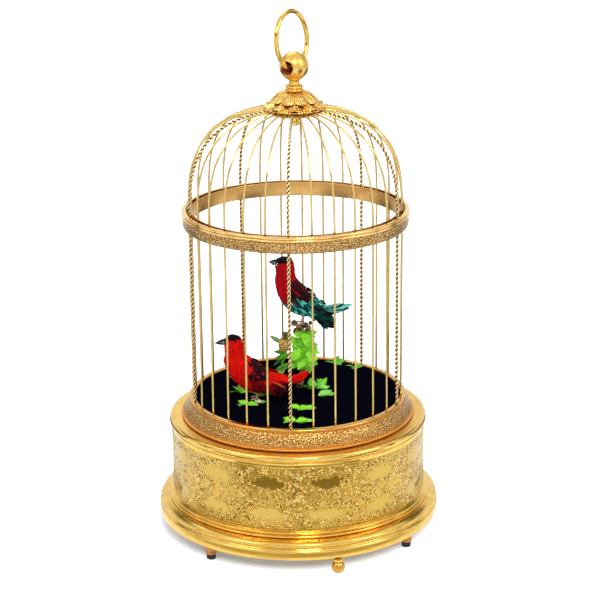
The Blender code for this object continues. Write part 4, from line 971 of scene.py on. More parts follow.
# %% Crown leaves
def crown_leaf(path, fullness, ribs):
    """One stamped leaf: along u from its root to its lifted tip, across v from -1 to 1."""
    bm = bmesh.new()
    bmesh.ops.create_grid(bm, x_segments=26, y_segments=14, size=1.0)
    spans = len(path) - 1
    for vert in bm.verts:
        u = (vert.co.x + 1) / 2
        v = vert.co.y
        k = min(int(u * spans), spans - 1)
        r, z = Vector(path[k]).lerp(Vector(path[k + 1]), u * spans - k)
        taper = 1.0 if u < 0.62 else max(0.0, 1 - ((u - 0.62) / 0.38) ** 1.7)
        serrated = 1.0 - 0.10 * abs(math.sin(u * 16)) if u > 0.5 else 1.0
        half = math.pi * r / CROWN_LEAVES * fullness * taper * serrated
        rib = 0.00050 * math.exp(-(v * 5.5) ** 2) * (1 - u * 0.4)
        veins = 0.00020 * math.sin((u * 11 - abs(v) * 1.6) * 2 * math.pi) * (1 - abs(v)) * min(1, u * 4)
        veins += 0.00016 * math.cos(v * ribs * math.pi) * (1 - u * 0.5)
        lift = 0.00075 * (1 - v * v) * (0.4 + u) + rib + veins
        a = v * half / max(r, 1e-6)
        vert.co = ((r + lift * 0.45) * math.cos(a), (r + lift * 0.45) * math.sin(a), z + lift * 0.85)
    bmesh.ops.remove_doubles(bm, verts=bm.verts[:], dist=1e-6)
    bmesh.ops.recalc_face_normals(bm, faces=bm.faces[:])
    if sum(face.normal.z for face in bm.faces) < 0:
        bmesh.ops.reverse_faces(bm, faces=bm.faces[:])
    bmesh.ops.solidify(bm, geom=bm.faces[:], thickness=0.0005)
    bmesh.ops.recalc_face_normals(bm, faces=bm.faces[:])
    return as_mesh(bm, "crown_leaf")


def falling(*steps):
    """A path of (radius, height) from steps of (radius, fall below the crown's top) in millimetres."""
    return [(radius * MM, crown_high - fall * MM) for radius, fall in steps]


bell_path = falling((4.0, 0.0), (6.4, 0.5), (8.3, 1.5), (9.8, 2.8), (11.0, 4.1), (11.9, 5.2), (13.0, 5.6))
brim_path = falling((8.5, 4.4), (10.2, 5.4), (11.8, 6.3), (13.4, 7.1), (15.0, 7.7), (16.4, 7.9), (17.6, 7.6))
bell_leaf, brim_leaf = crown_leaf(bell_path, 1.06, 4), crown_leaf(brim_path, 1.0, 6)
reach = max(v.co.xy.length for v in brim_leaf.vertices)
print("crown tips reach", round(reach, 4), "of", round(CROWN, 4))


# %% Crown
def stamped_gilt():
    """Gilt with fine radial lines, and a darker orange painted into the hollows between them as painted shade."""
    finish = Finish("stamped_gilt", (0.90, 0.56, 0.13), metallic=1.0, roughness=0.20)
    point = finish.point()
    x, y, _ = finish.parts(point)
    leaf_turn = x.turn(y) * (CROWN_LEAVES / (2 * math.pi))
    lines = abs((leaf_turn * 7.0).wrap(0.0, 1.0) - 0.5) * 2.0
    ragged = finish.noise(point, 0.9, 3.0, 0.6)
    shaded_hollows = (lines + (ragged - 0.5) * 0.9).step(0.42, 0.10)
    # painted shade: darker orange in the hollows between the lines
    finish.set("Base Color", finish.mix(shaded_hollows * 0.85, (0.94, 0.63, 0.18), (0.55, 0.19, 0.02)))
    finish.set("Roughness", 0.16 + ragged * 0.12)
    finish.bump((1.0 - shaded_hollows) * 0.12 + ragged * 0.14)
    return finish


crown_gilt = stamped_gilt()
bm = bmesh.new()
for i in range(CROWN_LEAVES):
    turn = -90 + 360 / CROWN_LEAVES * i
    add_copy(bm, bell_leaf, Matrix.Rotation(math.radians(turn + 180 / CROWN_LEAVES), 4, "Z"))
    add_copy(bm, brim_leaf, Matrix.Rotation(math.radians(turn), 4, "Z"))
bell = beside(0.0, crown_high, (2.2, 0, 0), (4.2, 0, 0), (6.2, -0.7, 1), (8.2, -2.0, 2), (9.8, -3.6, 2), (11.2, -6.0, 1),
              (11.0, -7.0, 0), (8.0, -4.4, 0), (2.2, -1.6, 0))
add_copy(bm, as_mesh(spun(rounded(bell, 3), 72), "bell"))
crown_bell = shaped("crown_bell", bm, crown_gilt, "case", "polished_gilt_brass", sharp=45)
shaped("crown_plate", crown_plate(), crown_gilt, "case", "polished_gilt_brass", ("crown_cap",), sharp=50)
print("crown bell", len(crown_bell.data.polygons), "faces")

# %% [markdown]
# ## Finial, ring and nut
#
# The finial is turned in one piece and its ball is cross-bored. The carrying ring passes through the hole and
# swings in it. A Boolean cuts the bore, as a drill would: the drill is an outline spun about the hole's axis,
# wider at its ends, so the hole's edge comes out eased. The nut under the crown pulls the stem down and the wires'
# ends up.

# %% Finial
finial_low, finial_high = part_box("finial")
BALL_RADIUS = 0.0081
ball_z = finial_high[2] - BALL_RADIUS
stem_low = finial_low[2]
collar_low = crown_high + 0.0003
HANGER_TURN = 58.0

corners = beside(0.0, stem_low, (0, 0, 0), (1.6, 0, 0.2))
corners += beside(0.0, collar_low, (1.6, 0, 0), (4.7, 0, 0.4), (5.2, 0.5, 0.4), (5.1, 1.1, 0.4), (4.3, 1.4, 0.2),
                  (4.2, 1.8, 0.2), (5.0, 2.2, 0.4), (4.9, 3.1, 0.5), (3.8, 3.5, 0.2), (3.1, 3.9, 0.4),
                  (2.8, 5.2, 1.0))
corners += beside(0.0, ball_z, (3.1, -7.5, 0.3))
outline = rounded(corners, 4)
for i in range(1, 40):
    a = math.radians(-67.5 + 157.4 * i / 39)
    outline.append((BALL_RADIUS * math.cos(a), ball_z + BALL_RADIUS * math.sin(a)))
finial = shaped("finial_turned", spun(outline, 96), satin_gilt, "case", "polished_gilt_brass", ("finial",), sharp=50)
print("ball centre", round(ball_z, 5))

# %% Cross bore
hole_finish = Finish("bored_hole", (0.42, 0.085, 0.03), metallic=0.25, roughness=0.5)
point = hole_finish.point()
hole_finish.mottle(hole_finish.noise(point, 0.9, 4.0), 0.35, 0.65, (0.50, 0.10, 0.03), (0.22, 0.045, 0.015))
hole_finish.bump(hole_finish.noise(point, 2.5, 3.0) * 0.02)
drill = [(0.0, -0.0100), (0.0044, -0.0100), (0.0040, -0.0074), (0.0034, -0.0066), (0.0030, -0.0058),
         (0.0028, -0.0048)]
drill += [(r, -z) for r, z in reversed(drill)]
drill_bm = spun(drill, 48)
hanger_turn = Matrix.Rotation(math.radians(HANGER_TURN), 4, "Z")
along_hole = Matrix.Translation((0, 0, ball_z)) @ hanger_turn @ Matrix.Rotation(math.pi / 2, 4, "Y")
bmesh.ops.transform(drill_bm, matrix=along_hole, verts=drill_bm.verts[:])
drill_object = bpy.data.objects.new("drill", as_mesh(drill_bm, "drill"))
drill_object.data.materials.append(hole_finish.material)
bpy.context.scene.collection.objects.link(drill_object)
cut = finial.modifiers.new("cross_bore", "BOOLEAN")
cut.operation = "DIFFERENCE"
cut.solver = "EXACT"
cut.material_mode = "TRANSFER"
cut.object = drill_object
bored = bpy.data.meshes.new_from_object(finial.evaluated_get(bpy.context.evaluated_depsgraph_get()))
finial.modifiers.clear()
finial.data = bored
bored.shade_smooth()
bored.set_sharp_from_angle(angle=math.radians(40))
bpy.data.objects.remove(drill_object)
print("finial", len(bored.polygons), "faces, materials", [m.name for m in bored.materials])

# %% Ring and nut
ring_radius = 0.0154
ring_wire = 0.00135
ring_rise = ring_radius - 0.0011
upright = Matrix.Rotation(math.pi / 2, 4, "X")
bm = bmesh.new()
section_at = Matrix.Translation((ring_radius, 0, 0)) @ upright
section = bmesh.ops.create_circle(bm, radius=ring_wire, segments=20, matrix=section_at)
section_edges = list({edge for vert in section["verts"] for edge in vert.link_edges})
spin_round(bm, section["verts"] + section_edges, 128)
lean = Matrix.Rotation(math.radians(-5.0), 4, "X")
hang = Matrix.Translation((0, 0, ball_z)) @ hanger_turn @ lean @ Matrix.Translation((0, 0, ring_rise)) @ upright
shaped("hanging_ring_drawn", bm, gilt, "ring", "polished_gilt_brass", ("hanging_ring",), sharp=0, matrix=hang)
nut_low, nut_high = (corner[2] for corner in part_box("wire_gather_nut"))
nut = beside(0.0, nut_low, (1.7, 0, 0), (2.4, 0, 0.3), (2.7, 0.4, 0.3), (2.7, 2.0, 0.1), (2.4, 2.2, 0.1),
             (2.4, 2.6, 0.1), (2.7, 2.8, 0.1))
nut += beside(0.0, nut_high, (2.7, -1.4, 0.2), (12.8, -1.2, 0.4), (13.0, -0.4, 0.4), (12.6, 0, 0.3), (1.7, 0, 0))
turned("gather_nut_turned", nut, 3, 64, gilt, ("wire_gather_nut",), sharp=45)
print("ring reaches", round(ball_z + ring_rise + ring_radius + ring_wire, 4), "before it leans")

# %% [markdown]
# ## Feet
#
# Four short turned pegs stand under the rim. They are lacquered to a warm brown, and each ends in a soft black pad
# that keeps the cage from singing into the table top.

# %% Pegs and pads
peg_finish = Finish("peg_lacquer", (0.62, 0.27, 0.055), metallic=0.75, roughness=0.3, Coat_Weight=0.4,
                    Coat_Roughness=0.12)
point = peg_finish.point()
_, _, z = peg_finish.parts(point)
peg_finish.mottle(peg_finish.noise(point, 0.8, 3.0), 0.35, 0.7, (0.66, 0.30, 0.065), (0.42, 0.15, 0.03))
peg_finish.bump(peg_finish.noise(peg_finish.vector(0.0, 0.0, z * 4.0), 1.0, 2.0) * 0.012)
rubber = Finish("rubber", (0.018, 0.017, 0.016), roughness=0.62)
point = rubber.point()
rubber.bump(rubber.noise(point, 3.0, 4.0) * 0.02)
rubber.set("Roughness", rubber.noise(point, 0.7, 2.0) * 0.2 + 0.5)
peg = beside(0.0, 0.0, (0, 3.0, 0), (2.9, 3.0, 0.3), (3.1, 3.4, 0.3), (3.1, 4.2, 0.1), (2.8, 4.4, 0.1),
             (2.8, 4.7, 0.1), (3.1, 4.9, 0.2), (3.1, 11.8, 0.4), (3.0, 12.2, 0), (0, 12.2, 0))
pad = beside(0.0, 0.0, (0, 0, 0), (2.6, 0, 0.5), (2.7, 2.8, 0.3), (2.4, 3.1, 0), (0, 3.1, 0))
for n in (1, 2, 3, 4):
    low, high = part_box(f"foot_{n}")
    stand = Matrix.Translation(((low[0] + high[0]) / 2, (low[1] + high[1]) / 2, 0))
    turned(f"peg_{n}", peg, 3, 48, peg_finish, (f"foot_{n}",), slot="foot_brass", matrix=stand)
    turned(f"pad_{n}", pad, 3, 48, rubber, slot="foot_brass", matrix=stand)

# %% [markdown]
# ## Lever and key
#
# A small knob under the front of the rim starts and stops the song: it sits on an arm that turns on a pivot below
# the bottom plate. The key under the drum has two bent loops on a turned stem. The round parts come from the same
# spin helper as the rest, and the arm and the loops are flat shapes that are extruded and have their edges eased.

# %% Lever
PIVOT = Vector((*polar(0.0600, 15.5), 0))
KNOB = Vector((*polar(0.0790, 15.5), 0))
KNOB_RADIUS = 0.0037
ARM_HALF_WIDTH, ARM_THICK = 0.0025, 0.0014
knob_z = 0.0051
arm_low = 0.0085
ball = [(0.0, knob_z - KNOB_RADIUS)]
for i in range(1, 32):
    a = math.radians(-90 + 180 * i / 32)
    ball.append((KNOB_RADIUS * math.cos(a), knob_z + KNOB_RADIUS * math.sin(a)))
ball = [p for p in ball if p[1] < knob_z + 0.0033]
ball += [(0.0017, knob_z + 0.0034), (0.0017, arm_low + 0.0004), (0.0, arm_low + 0.0004)]
knob_gilt = polished_gilt("knob_gilt", (0.66, 0.35, 0.075), 0.18)
shaped("lever_knob", spun(ball, 64), knob_gilt, "lever", "polished_gilt_brass", ("start_stop_lever",),
       matrix=Matrix.Translation(KNOB))


def level_edges(bm, bend=0.0):
    """The edges that lie level, of those that bend by an angle in radians or more."""
    level = [e for e in bm.edges if abs(e.verts[0].co.z - e.verts[1].co.z) < 1e-7]
    return [e for e in level if e.calc_face_angle(0) >= bend]


def ease(bm, edges, offset, segments):
    bmesh.ops.bevel(bm, geom=edges, offset=offset, offset_type="OFFSET", segments=segments, profile=0.5,
                    affect="EDGES", material=-1)


bm = bmesh.new()
bmesh.ops.create_circle(bm, cap_ends=True, radius=ARM_HALF_WIDTH, segments=32)
outward = KNOB - PIVOT
for vert in bm.verts:
    if vert.co.x > 1e-6:
        vert.co.x += outward.length
bmesh.ops.translate(bm, verts=raised_verts(bm, bm.faces[:]), vec=(0, 0, ARM_THICK))
bmesh.ops.recalc_face_normals(bm, faces=bm.faces[:])
ease(bm, level_edges(bm), 0.00025, 2)
turn_arm = Matrix.Rotation(math.atan2(outward.y, outward.x), 4, "Z")
turn_arm = Matrix.Translation(PIVOT + Vector((0, 0, arm_low))) @ turn_arm
shaped("lever_arm", bm, gilt, "lever", "polished_gilt_brass", matrix=turn_arm)
screw = beside(0.0, 0.0, (0, 8.2, 0), (1.5, 8.2, 0.3), (1.8, 8.6, 0.2), (1.8, 9.0, 0), (1.2, 9.2, 0),
               (1.2, 12.2, 0), (0, 12.2, 0))
turned("lever_pivot", screw, 3, 32, soft_gilt, body="lever", matrix=Matrix.Translation(PIVOT))
print("lever turns about", [round(c, 4) for c in PIVOT])

# %% Key
nickel = Finish("key_nickel", (0.58, 0.575, 0.56), metallic=1.0, roughness=0.25)
point = nickel.point()
nickel.set("Roughness", nickel.noise(point, 0.5, 4.0) * 0.25 + 0.14)
nickel.bump(nickel.noise(point, 3.0, 4.0, 0.7) * 0.006)
KEY_AT = Vector((-0.020, 0.006, 0))
KEY_MIDDLE = 0.00725
LOOP_AT = (0.0088, 0.0011)
LOOP_OUTER, LOOP_HOLE, LOOP_THICK = (0.0072, 0.0049), (0.0048, 0.0026), 0.0022
key_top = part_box("winding_key")[1][2]
stem = beside(0.0, 0.0, (0, 2.6, 0), (2.8, 2.6, 0.4), (3.6, 3.4, 0.4))
stem += beside(0.0, key_top, (3.6, -0.4, 0.3), (3.3, 0, 0), (0, 0, 0))
turned("key_stem", stem, 3, 48, nickel, ("winding_key",), "key", "key_steel", matrix=Matrix.Translation(KEY_AT))
bm = bmesh.new()
for side in (-1, 1):
    loop = bmesh.new()
    for half_width, half_height in (LOOP_OUTER, LOOP_HOLE):
        oval_size = Matrix.Diagonal((half_width, half_height, 1.0, 1.0))
        bmesh.ops.create_circle(loop, cap_ends=False, radius=1.0, segments=40, matrix=oval_size)
    bmesh.ops.bridge_loops(loop, edges=loop.edges[:])
    bmesh.ops.translate(loop, verts=raised_verts(loop, loop.faces[:]), vec=(0, 0, LOOP_THICK))
    bmesh.ops.recalc_face_normals(loop, faces=loop.faces[:])
    ease(loop, level_edges(loop, 0.9), 0.0005, 3)
    loop_at = (KEY_AT.x + side * LOOP_AT[0], KEY_AT.y + LOOP_AT[1], KEY_MIDDLE)
    add_copy(bm, as_mesh(loop, "loop"), Matrix.Translation(loop_at) @ upright)
shaped("key_loops", bm, nickel, "key", "key_steel")
print("key at", [round(c, 4) for c in KEY_AT])

# %% [markdown]
# ## Flocked floor
#
# The floor of the cage is a card disc covered in near-black flock, which hides the levers that reach up to the
# birds. Flock is short fibre, so it drinks light straight on and glows faintly at a grazing angle: that is what
# the shader's sheen is for. A clumpy bump breaks up its edge.

# %% Floor
flock = Finish("black_flock", (0.004, 0.005, 0.010), roughness=0.95, Specular_IOR_Level=0.0, Sheen_Weight=0.02,
               Sheen_Roughness=0.5, Sheen_Tint=(0.10, 0.12, 0.25, 1.0))
point = flock.point()
clumps = flock.noise(point, 0.9, 4.0, 0.7)
fibres = flock.noise(point, 4.5, 3.0, 0.8)
flock.mottle(clumps, 0.35, 0.70, (0.0008, 0.0010, 0.0026), (0.0030, 0.0034, 0.0090))
flock.bump(clumps * 0.25 + fibres * 0.25)
floor_low, floor_high = 0.0748, 0.0778
FLOOR = SEAT_INNER - 0.0003
HUMP = 0.00012
bm = bmesh.new()
bmesh.ops.create_grid(bm, x_segments=60, y_segments=60, size=1.0)
for vert in bm.verts:
    # a square grid drawn onto a disc, with low humps
    x, y = vert.co.x, vert.co.y
    disc = Vector((x * math.sqrt(1 - y * y / 2), y * math.sqrt(1 - x * x / 2), 0)) * FLOOR
    hump = math.sin(disc.x * 210) * math.cos(disc.y * 180) + math.sin(disc.x * 97 + disc.y * 133)
    edge = min(1.0, (FLOOR - disc.length) / 0.004)
    vert.co = disc + Vector((0, 0, floor_high - 0.00015 + HUMP * hump * max(edge, 0)))
lowered = bmesh.ops.extrude_edge_only(bm, edges=[e for e in bm.edges if e.is_boundary])
for vert in lowered["geom"]:
    if isinstance(vert, bmesh.types.BMVert):
        vert.co.z = floor_low
bmesh.ops.contextual_create(bm, geom=[e for e in bm.edges if e.is_boundary])
bmesh.ops.recalc_face_normals(bm, faces=bm.faces[:])
shaped("floor_flocked", bm, flock, "case", "flock", ("floor_disc",), sharp=60)
print("floor at", floor_high)

# %% [markdown]
# ## The movement and the bottom plate
#
# The movement stays as the model has it, because its shapes are right and a viewer sees it only through the sound
# holes or with the plate off. Its brass is turned and brushed, so the pattern is fine rings about the cage's axis
# or a straight grain, and the bellows gets the folds and grain of thin kid leather.

# %% Movement finishes
BRASS = (0.76, 0.56, 0.22)


def brushed_brass(name, colour, roughness, spin_about=None):
    finish = Finish(name, colour, metallic=1.0, roughness=roughness)
    point = finish.point()
    x, y, z = finish.parts(point)
    if spin_about:
        across = finish.vector(distance(x - spin_about[0], y - spin_about[1]) * 6.0, 0.0, z * 0.5)
    else:
        across = finish.vector(x * 0.15, y * 6.0, z * 6.0)
    grain = finish.noise(across, 1.0, 4.0, 0.7)
    finish.mottle(finish.noise(point, 0.09, 3.0), 0.35, 0.65, colour, tuple(c * 0.80 for c in colour))
    finish.set("Roughness", grain * 0.16 + (roughness - 0.08))
    finish.bump(grain * 0.012)
    return finish


plate_brass = brushed_brass("plate_brass", BRASS, 0.34, (0.0, 0.0))
movement_brass = brushed_brass("movement_brass", BRASS, 0.30)
barrel_brass = brushed_brass("barrel_brass", BRASS, 0.28, (-20.0, 6.0))
steel = brushed_brass("blued_steel", (0.42, 0.43, 0.46), 0.26)
leather = Finish("kid_leather", (0.34, 0.19, 0.105), roughness=0.68)
point = leather.point()
_, _, z = leather.parts(point)
pebble = leather.cells(point, 1.4).step(0.55, 0.15)
folds = (z * 3.2).sine() * 0.5 + 0.5
# the colour follows the bump: paler on the pebbles and on the crests of the folds, darker between the pebbles and in
# the troughs of the folds, which is painted shade
leather.set("Base Color", leather.mix(pebble * 0.6 + folds * 0.3, (0.20, 0.105, 0.055), (0.40, 0.235, 0.13)))
leather.bump(pebble * 0.05 + folds * 0.25)
for node, finish in (("bottom_plate", plate_brass), ("movement_frame", movement_brass),
                     ("mainspring_barrel", barrel_brass), ("song_cams", movement_brass), ("governor_fly", steel),
                     ("bellows", leather)):
    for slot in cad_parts[node].material_slots:
        slot.material = finish.material
    print(node, "->", finish.material.name)

# %% [markdown]
# ## Leaves
#
# The leaves are stamped from dyed cloth and pressed so that their veins stand up. One grid becomes a leaf: its
# width follows a pointed oval with teeth, and it is cupped along the rib. All the greens come from one material,
# because each copy writes its own tint into an attribute. A second attribute holds where each point lies along and
# across the leaf, which is what draws the veins.

# %% Leaf finish
leaf_finish = Finish("pressed_leaf", (0.30, 0.62, 0.05), roughness=0.55, Specular_IOR_Level=0.25)
leaf_tint = leaf_finish.attribute("tint", "colour")
along_leaf, across_leaf, _ = leaf_finish.parts(leaf_finish.attribute("on_leaf", "vector"))
side_vein = abs((along_leaf * 5.5 - abs(across_leaf) * 1.3).wrap(0.0, 1.0) - 0.5)
vein_lines = side_vein.step(0.10, 0.03).most(abs(across_leaf).step(0.10, 0.04))
mottle = leaf_finish.noise(leaf_finish.point(), 1.1, 4.0, 0.65)
darker = leaf_finish.mix(0.5, leaf_tint, (0.02, 0.10, 0.01))
base = leaf_finish.mix(mottle.step(0.40, 0.66) * 0.45, leaf_tint, darker)
leaf_finish.set("Base Color", leaf_finish.mix(vein_lines * 0.30, base, (0.55, 0.90, 0.30)))
leaf_finish.bump(vein_lines * 0.10 + mottle * 0.12 + side_vein * 0.12)
print("leaf finish ready")


# %% A leaf
def leaf_half_width(u):
    """Half width of a leaf at u along it, as a share of its length, with five pairs of teeth."""
    oval_width = math.sin(math.pi * min(u ** 0.75, 1.0)) ** 0.9
    tooth = (u * 6.0) % 1.0
    return 0.42 * oval_width * (0.60 + 0.52 * tooth) + 0.006


def slim_half_width(u):
    return 0.20 * math.sin(math.pi * u ** 0.8) + 0.006


def cut_leaf(half_width, cup, curl):
    """A leaf one unit long along +X, with its base at the origin."""
    bm = bmesh.new()
    bmesh.ops.create_grid(bm, x_segments=24, y_segments=4, size=1.0)
    layer = bm.verts.layers.float_vector.new("on_leaf")
    for vert in bm.verts:
        u, v = (vert.co.x + 1) / 2, vert.co.y
        vert[layer] = (u, v, 0)
        half = half_width(u)
        vert.co = (u - 0.10 * abs(v) * half, v * half, cup * abs(v) * half * 2 - curl * u * u)
    bmesh.ops.solidify(bm, geom=bm.faces[:], thickness=0.012)
    bmesh.ops.recalc_face_normals(bm, faces=bm.faces[:])
    return as_mesh(bm, "cut_leaf")


broad_leaf, slim_leaf = cut_leaf(leaf_half_width, 0.10, 0.10), cut_leaf(slim_half_width, 0.05, 0.18)
print("leaf has", len(broad_leaf.polygons), "faces")

# %% Copies of a leaf
LIME, MID, PALE, DEEP = (0.36, 1.0, 0.030), (0.17, 0.70, 0.025), (0.42, 0.98, 0.16), (0.050, 0.26, 0.012)
DRY, FADED = (0.085, 0.016, 0.010), (0.34, 0.56, 0.16)


def leafy_bm():
    bm = bmesh.new()
    bm.verts.layers.float_vector.new("on_leaf")
    bm.verts.layers.float_color.new("tint")
    return bm


def tinted_copy(bm, leaf, matrix, tint):
    new = add_copy(bm, leaf, matrix)
    layer = bm.verts.layers.float_color["tint"]
    for vert in new:
        vert[layer] = (*tint, 1.0)


def add_leaf(bm, at, heading, tilt, roll, length, tint, leaf=broad_leaf):
    """Places a leaf: at in millimetres, heading round the compass, tilt up from level, roll about its rib."""
    turn = Matrix.Rotation(math.radians(heading), 4, "Z") @ Matrix.Rotation(math.radians(-tilt), 4, "Y")
    turn = turn @ Matrix.Rotation(math.radians(roll), 4, "X")
    tinted_copy(bm, leaf, Matrix.Translation(Vector(at) * MM) @ turn @ Matrix.Scale(length * MM, 4), tint)


def add_upright_leaf(bm, at, angle, facing, length, tint):
    """Places a leaf by the angle of its rib, as seen from the front, and the way that its face looks."""
    normal = Vector(facing).normalized()
    rib = Vector((math.cos(math.radians(angle)), 0, math.sin(math.radians(angle))))
    rib = (rib - normal * rib.dot(normal)).normalized()
    matrix = Matrix((rib, normal.cross(rib), normal)).transposed().to_4x4()
    matrix.translation = Vector(at) * MM
    tinted_copy(bm, broad_leaf, matrix @ Matrix.Scale(length * MM, 4), tint)


print("leaf colours:", LIME, MID, PALE, DEEP, DRY, FADED)

# %% [markdown]
# ## Twig, cone and perch
#
# The birds' levers come up inside a crooked twig. It is wire bound with paper and dipped, so it has knots and a
# rough skin. It is swept along its bow with a swelling at every knot. A gilded cone hangs on a side twig.

# %% Twig
bark = Finish("dipped_bark", (0.30, 0.20, 0.07), roughness=0.75)
point = bark.point()
lumps = bark.noise(point, 0.55, 5.0, 0.7)
specks = bark.cells(point, 0.9).step(0.45, 0.15)
bark_colour = bark.ramp(lumps, (0.36, (0.020, 0.006, 0.006)), (0.47, (0.10, 0.030, 0.015)),
                        (0.54, (0.42, 0.24, 0.06)), (0.68, (0.72, 0.56, 0.24)))
bark.set("Base Color", bark.mix(specks * 0.35, bark_colour, (0.30, 0.34, 0.05)))
bark.bump(lumps * 0.7 + specks * 0.2)
TWIG_FOOT, TWIG_TIP, TWIG_BOW = Vector((0.0010, 0.0090, 0.0778)), Vector((0.0024, 0.0, 0.1177)), 0.0022
# (share of the twig's length, swelling)
KNOTS = ((0.10, 0.5), (0.31, 0.4), (0.52, 0.5), (0.72, 0.7), (0.86, 0.8), (0.95, 0.9))


def twig_point(share):
    return TWIG_FOOT.lerp(TWIG_TIP, share) + Vector((TWIG_BOW, 0, 0)) * math.sin(math.pi * share)


rng = random.Random(7)
steps = 60
widths = []
for i in range(steps + 1):
    share = i / steps
    swell = sum(size * math.exp(-((share - at) * 24) ** 2) for at, size in KNOTS)
    widths.append((1.0 - 0.28 * share) * (1 + 0.45 * swell) * (0.94 + 0.12 * rng.random()))
twig_bm = sweep([twig_point(i / steps) for i in range(steps + 1)], 0.0016, 20, widths)
print("twig reaches", round(twig_point(1).z, 4))


# %% Perch, side twigs and buds
def add_swept(bm, points, radius, sides, taper):
    add_copy(bm, as_mesh(sweep(points, radius, sides, taper), "swept"))


perch = [Vector((0.0024, y * MM, 0.1177)) for y in (-4.6, -4.4, -3, -1.5, 0, 1.5, 3, 4.4, 4.6)]
add_swept(twig_bm, perch, 0.0012, 16, [0.3, 0.8, 1.0, 0.92, 1.08, 0.94, 1.0, 0.8, 0.3])
SIDE_TWIG_TAPER = [1.0, 0.9, 0.95, 0.8, 1.05, 0.75, 0.9, 1.0, 0.35]
for root, tip, size in (((2.8, 1.4, 116.0), (-2.4, -1.6, 120.4), 0.9), ((3.0, 1.5, 112.5), (7.4, -1.0, 117.5), 0.75),
                        ((3.0, 2.0, 111.0), (-1.8, -1.5, 115.0), 0.9), ((3.2, 2.6, 107.0), (-4.6, 1.2, 111.5), 0.8),
                        ((3.2, 3.2, 104.0), (8.6, 0.5, 108.2), 0.6), ((-4.6, 1.2, 111.5), (-8.4, 0.0, 113.6), 0.8)):
    a, b = Vector(root) * MM, Vector(tip) * MM
    line = [a.lerp(b, k / 8) + Vector((0, -0.0006, 0.0008)) * math.sin(math.pi * k / 8) for k in range(9)]
    add_swept(twig_bm, line, size * MM, 10, SIDE_TWIG_TAPER)
for at, size in (((-1.4, -1.2, 120.2), 1.7), ((1.2, -1.4, 118.4), 1.4), ((-0.4, -1.0, 115.4), 1.8),
                 ((6.6, -1.2, 117.2), 1.5), ((7.6, -0.6, 120.0), 1.1), ((-6.6, 0.6, 112.4), 2.0),
                 ((-4.9, 1.0, 112.9), 1.4)):
    bud = bmesh.new()
    bmesh.ops.create_icosphere(bud, subdivisions=3, radius=size * MM)
    for vert in bud.verts:
        n = vert.co.normalized()
        wrinkle = 0.22 * math.sin(n.x * 9 + at[0]) * math.sin(n.y * 8 + at[2]) + 0.10 * math.sin(n.z * 15)
        vert.co *= 1 + wrinkle
    add_copy(twig_bm, as_mesh(bud, "bud"), Matrix.Translation(Vector(at) * MM))
twig = shaped("twig", twig_bm, bark, "case", "foliage", ("perch_branch",), sharp=0)
print("twig has", len(twig.data.polygons), "faces")

# %% Cone
cone_finish = Finish("gilded_cone", (0.78, 0.48, 0.10), metallic=0.35, roughness=0.45)
point = cone_finish.point()
cone_finish.mottle(cone_finish.noise(point, 0.9, 4.0), 0.38, 0.62, (0.85, 0.56, 0.13), (0.35, 0.16, 0.03))
cone_finish.bump(cone_finish.noise(point, 1.6, 4.0) * 0.15)
CONE_AT = Vector((-7.4, 1.2, 106.2)) * MM
CONE_ROWS = CONE_SIDES = 8


def egg(across, deep, high, u_segments, v_segments):
    bm = bmesh.new()
    bmesh.ops.create_uvsphere(bm, u_segments=u_segments, v_segments=v_segments, radius=1.0)
    bmesh.ops.scale(bm, vec=(across, deep, high), verts=bm.verts[:])
    return as_mesh(bm, "egg")


bm = bmesh.new()
add_copy(bm, egg(0.0024, 0.0024, 0.0037, 24, 16), Matrix.Translation(CONE_AT))
cone_scale = egg(0.0007, 0.00125, 0.0013, 10, 6)
for row in range(CONE_ROWS):
    z = 0.0030 - row * 0.00088
    girth = 0.0025 * math.sqrt(max(0.05, 1 - (z / 0.0039) ** 2))
    for k in range(CONE_SIDES):
        a = 2 * math.pi * (k + 0.5 * (row % 2)) / CONE_SIDES
        at = CONE_AT + Vector((girth * math.cos(a), girth * math.sin(a), z))
        lift = Matrix.Rotation(a, 4, "Z") @ Matrix.Rotation(math.radians(24), 4, "Y")
        add_copy(bm, cone_scale, Matrix.Translation(at) @ lift)
cone = shaped("cone", bm, cone_finish, "case", "foliage", sharp=0)
print("cone has", len(cone.data.polygons), "faces")

# %% [markdown]
# ## Setting the leaves
#
# On the twig the leaves stand in one big bunch at the right, smaller ones at the left, and sprays lie about on the
# dark floor with a small white blossom. Each group has its own list: where it starts, which way it heads, how it
# tilts and rolls, how long it is and which green it is.

# %% Leaves on the twig
# (height, left edge, right edge) of the big bunch, in millimetres
BUNCH = ((113.8, 3.5, 7.2), (111.0, 0.0, 7.0), (108.0, -2.2, 7.5), (104.0, -2.5, 8.0), (99.5, -2.0, 8.5),
         (96.0, -1.0, 7.5))
BUNCH_ROWS, BUNCH_ACROSS = 13, 6
bm = leafy_bm()
bunch = random.Random(21)
for row in range(BUNCH_ROWS):
    share = row / (BUNCH_ROWS - 1) * (len(BUNCH) - 1)
    k = min(int(share), len(BUNCH) - 2)
    z, left, right = (BUNCH[k][i] + (BUNCH[k + 1][i] - BUNCH[k][i]) * (share - k) for i in range(3))
    for i in range(BUNCH_ACROSS):
        x = left + (right - left) * (i + 0.5 + bunch.uniform(-0.3, 0.3)) / BUNCH_ACROSS
        angle = bunch.choice((-100, -70, -45, -130, 20, 150, -15)) + bunch.uniform(-25, 25)
        facing = (bunch.uniform(-0.45, 0.45), -1.0, bunch.uniform(-0.1, 0.7))
        tint = LIME if bunch.random() < 0.86 else MID
        if row > 10 and i < 3:
            tint = DEEP if i % 2 else MID
        at = (x, 0.5 - 3.6 * bunch.random(), z + bunch.uniform(-1.0, 1.5))
        add_upright_leaf(bm, at, angle, facing, bunch.uniform(4.6, 6.8), tint)
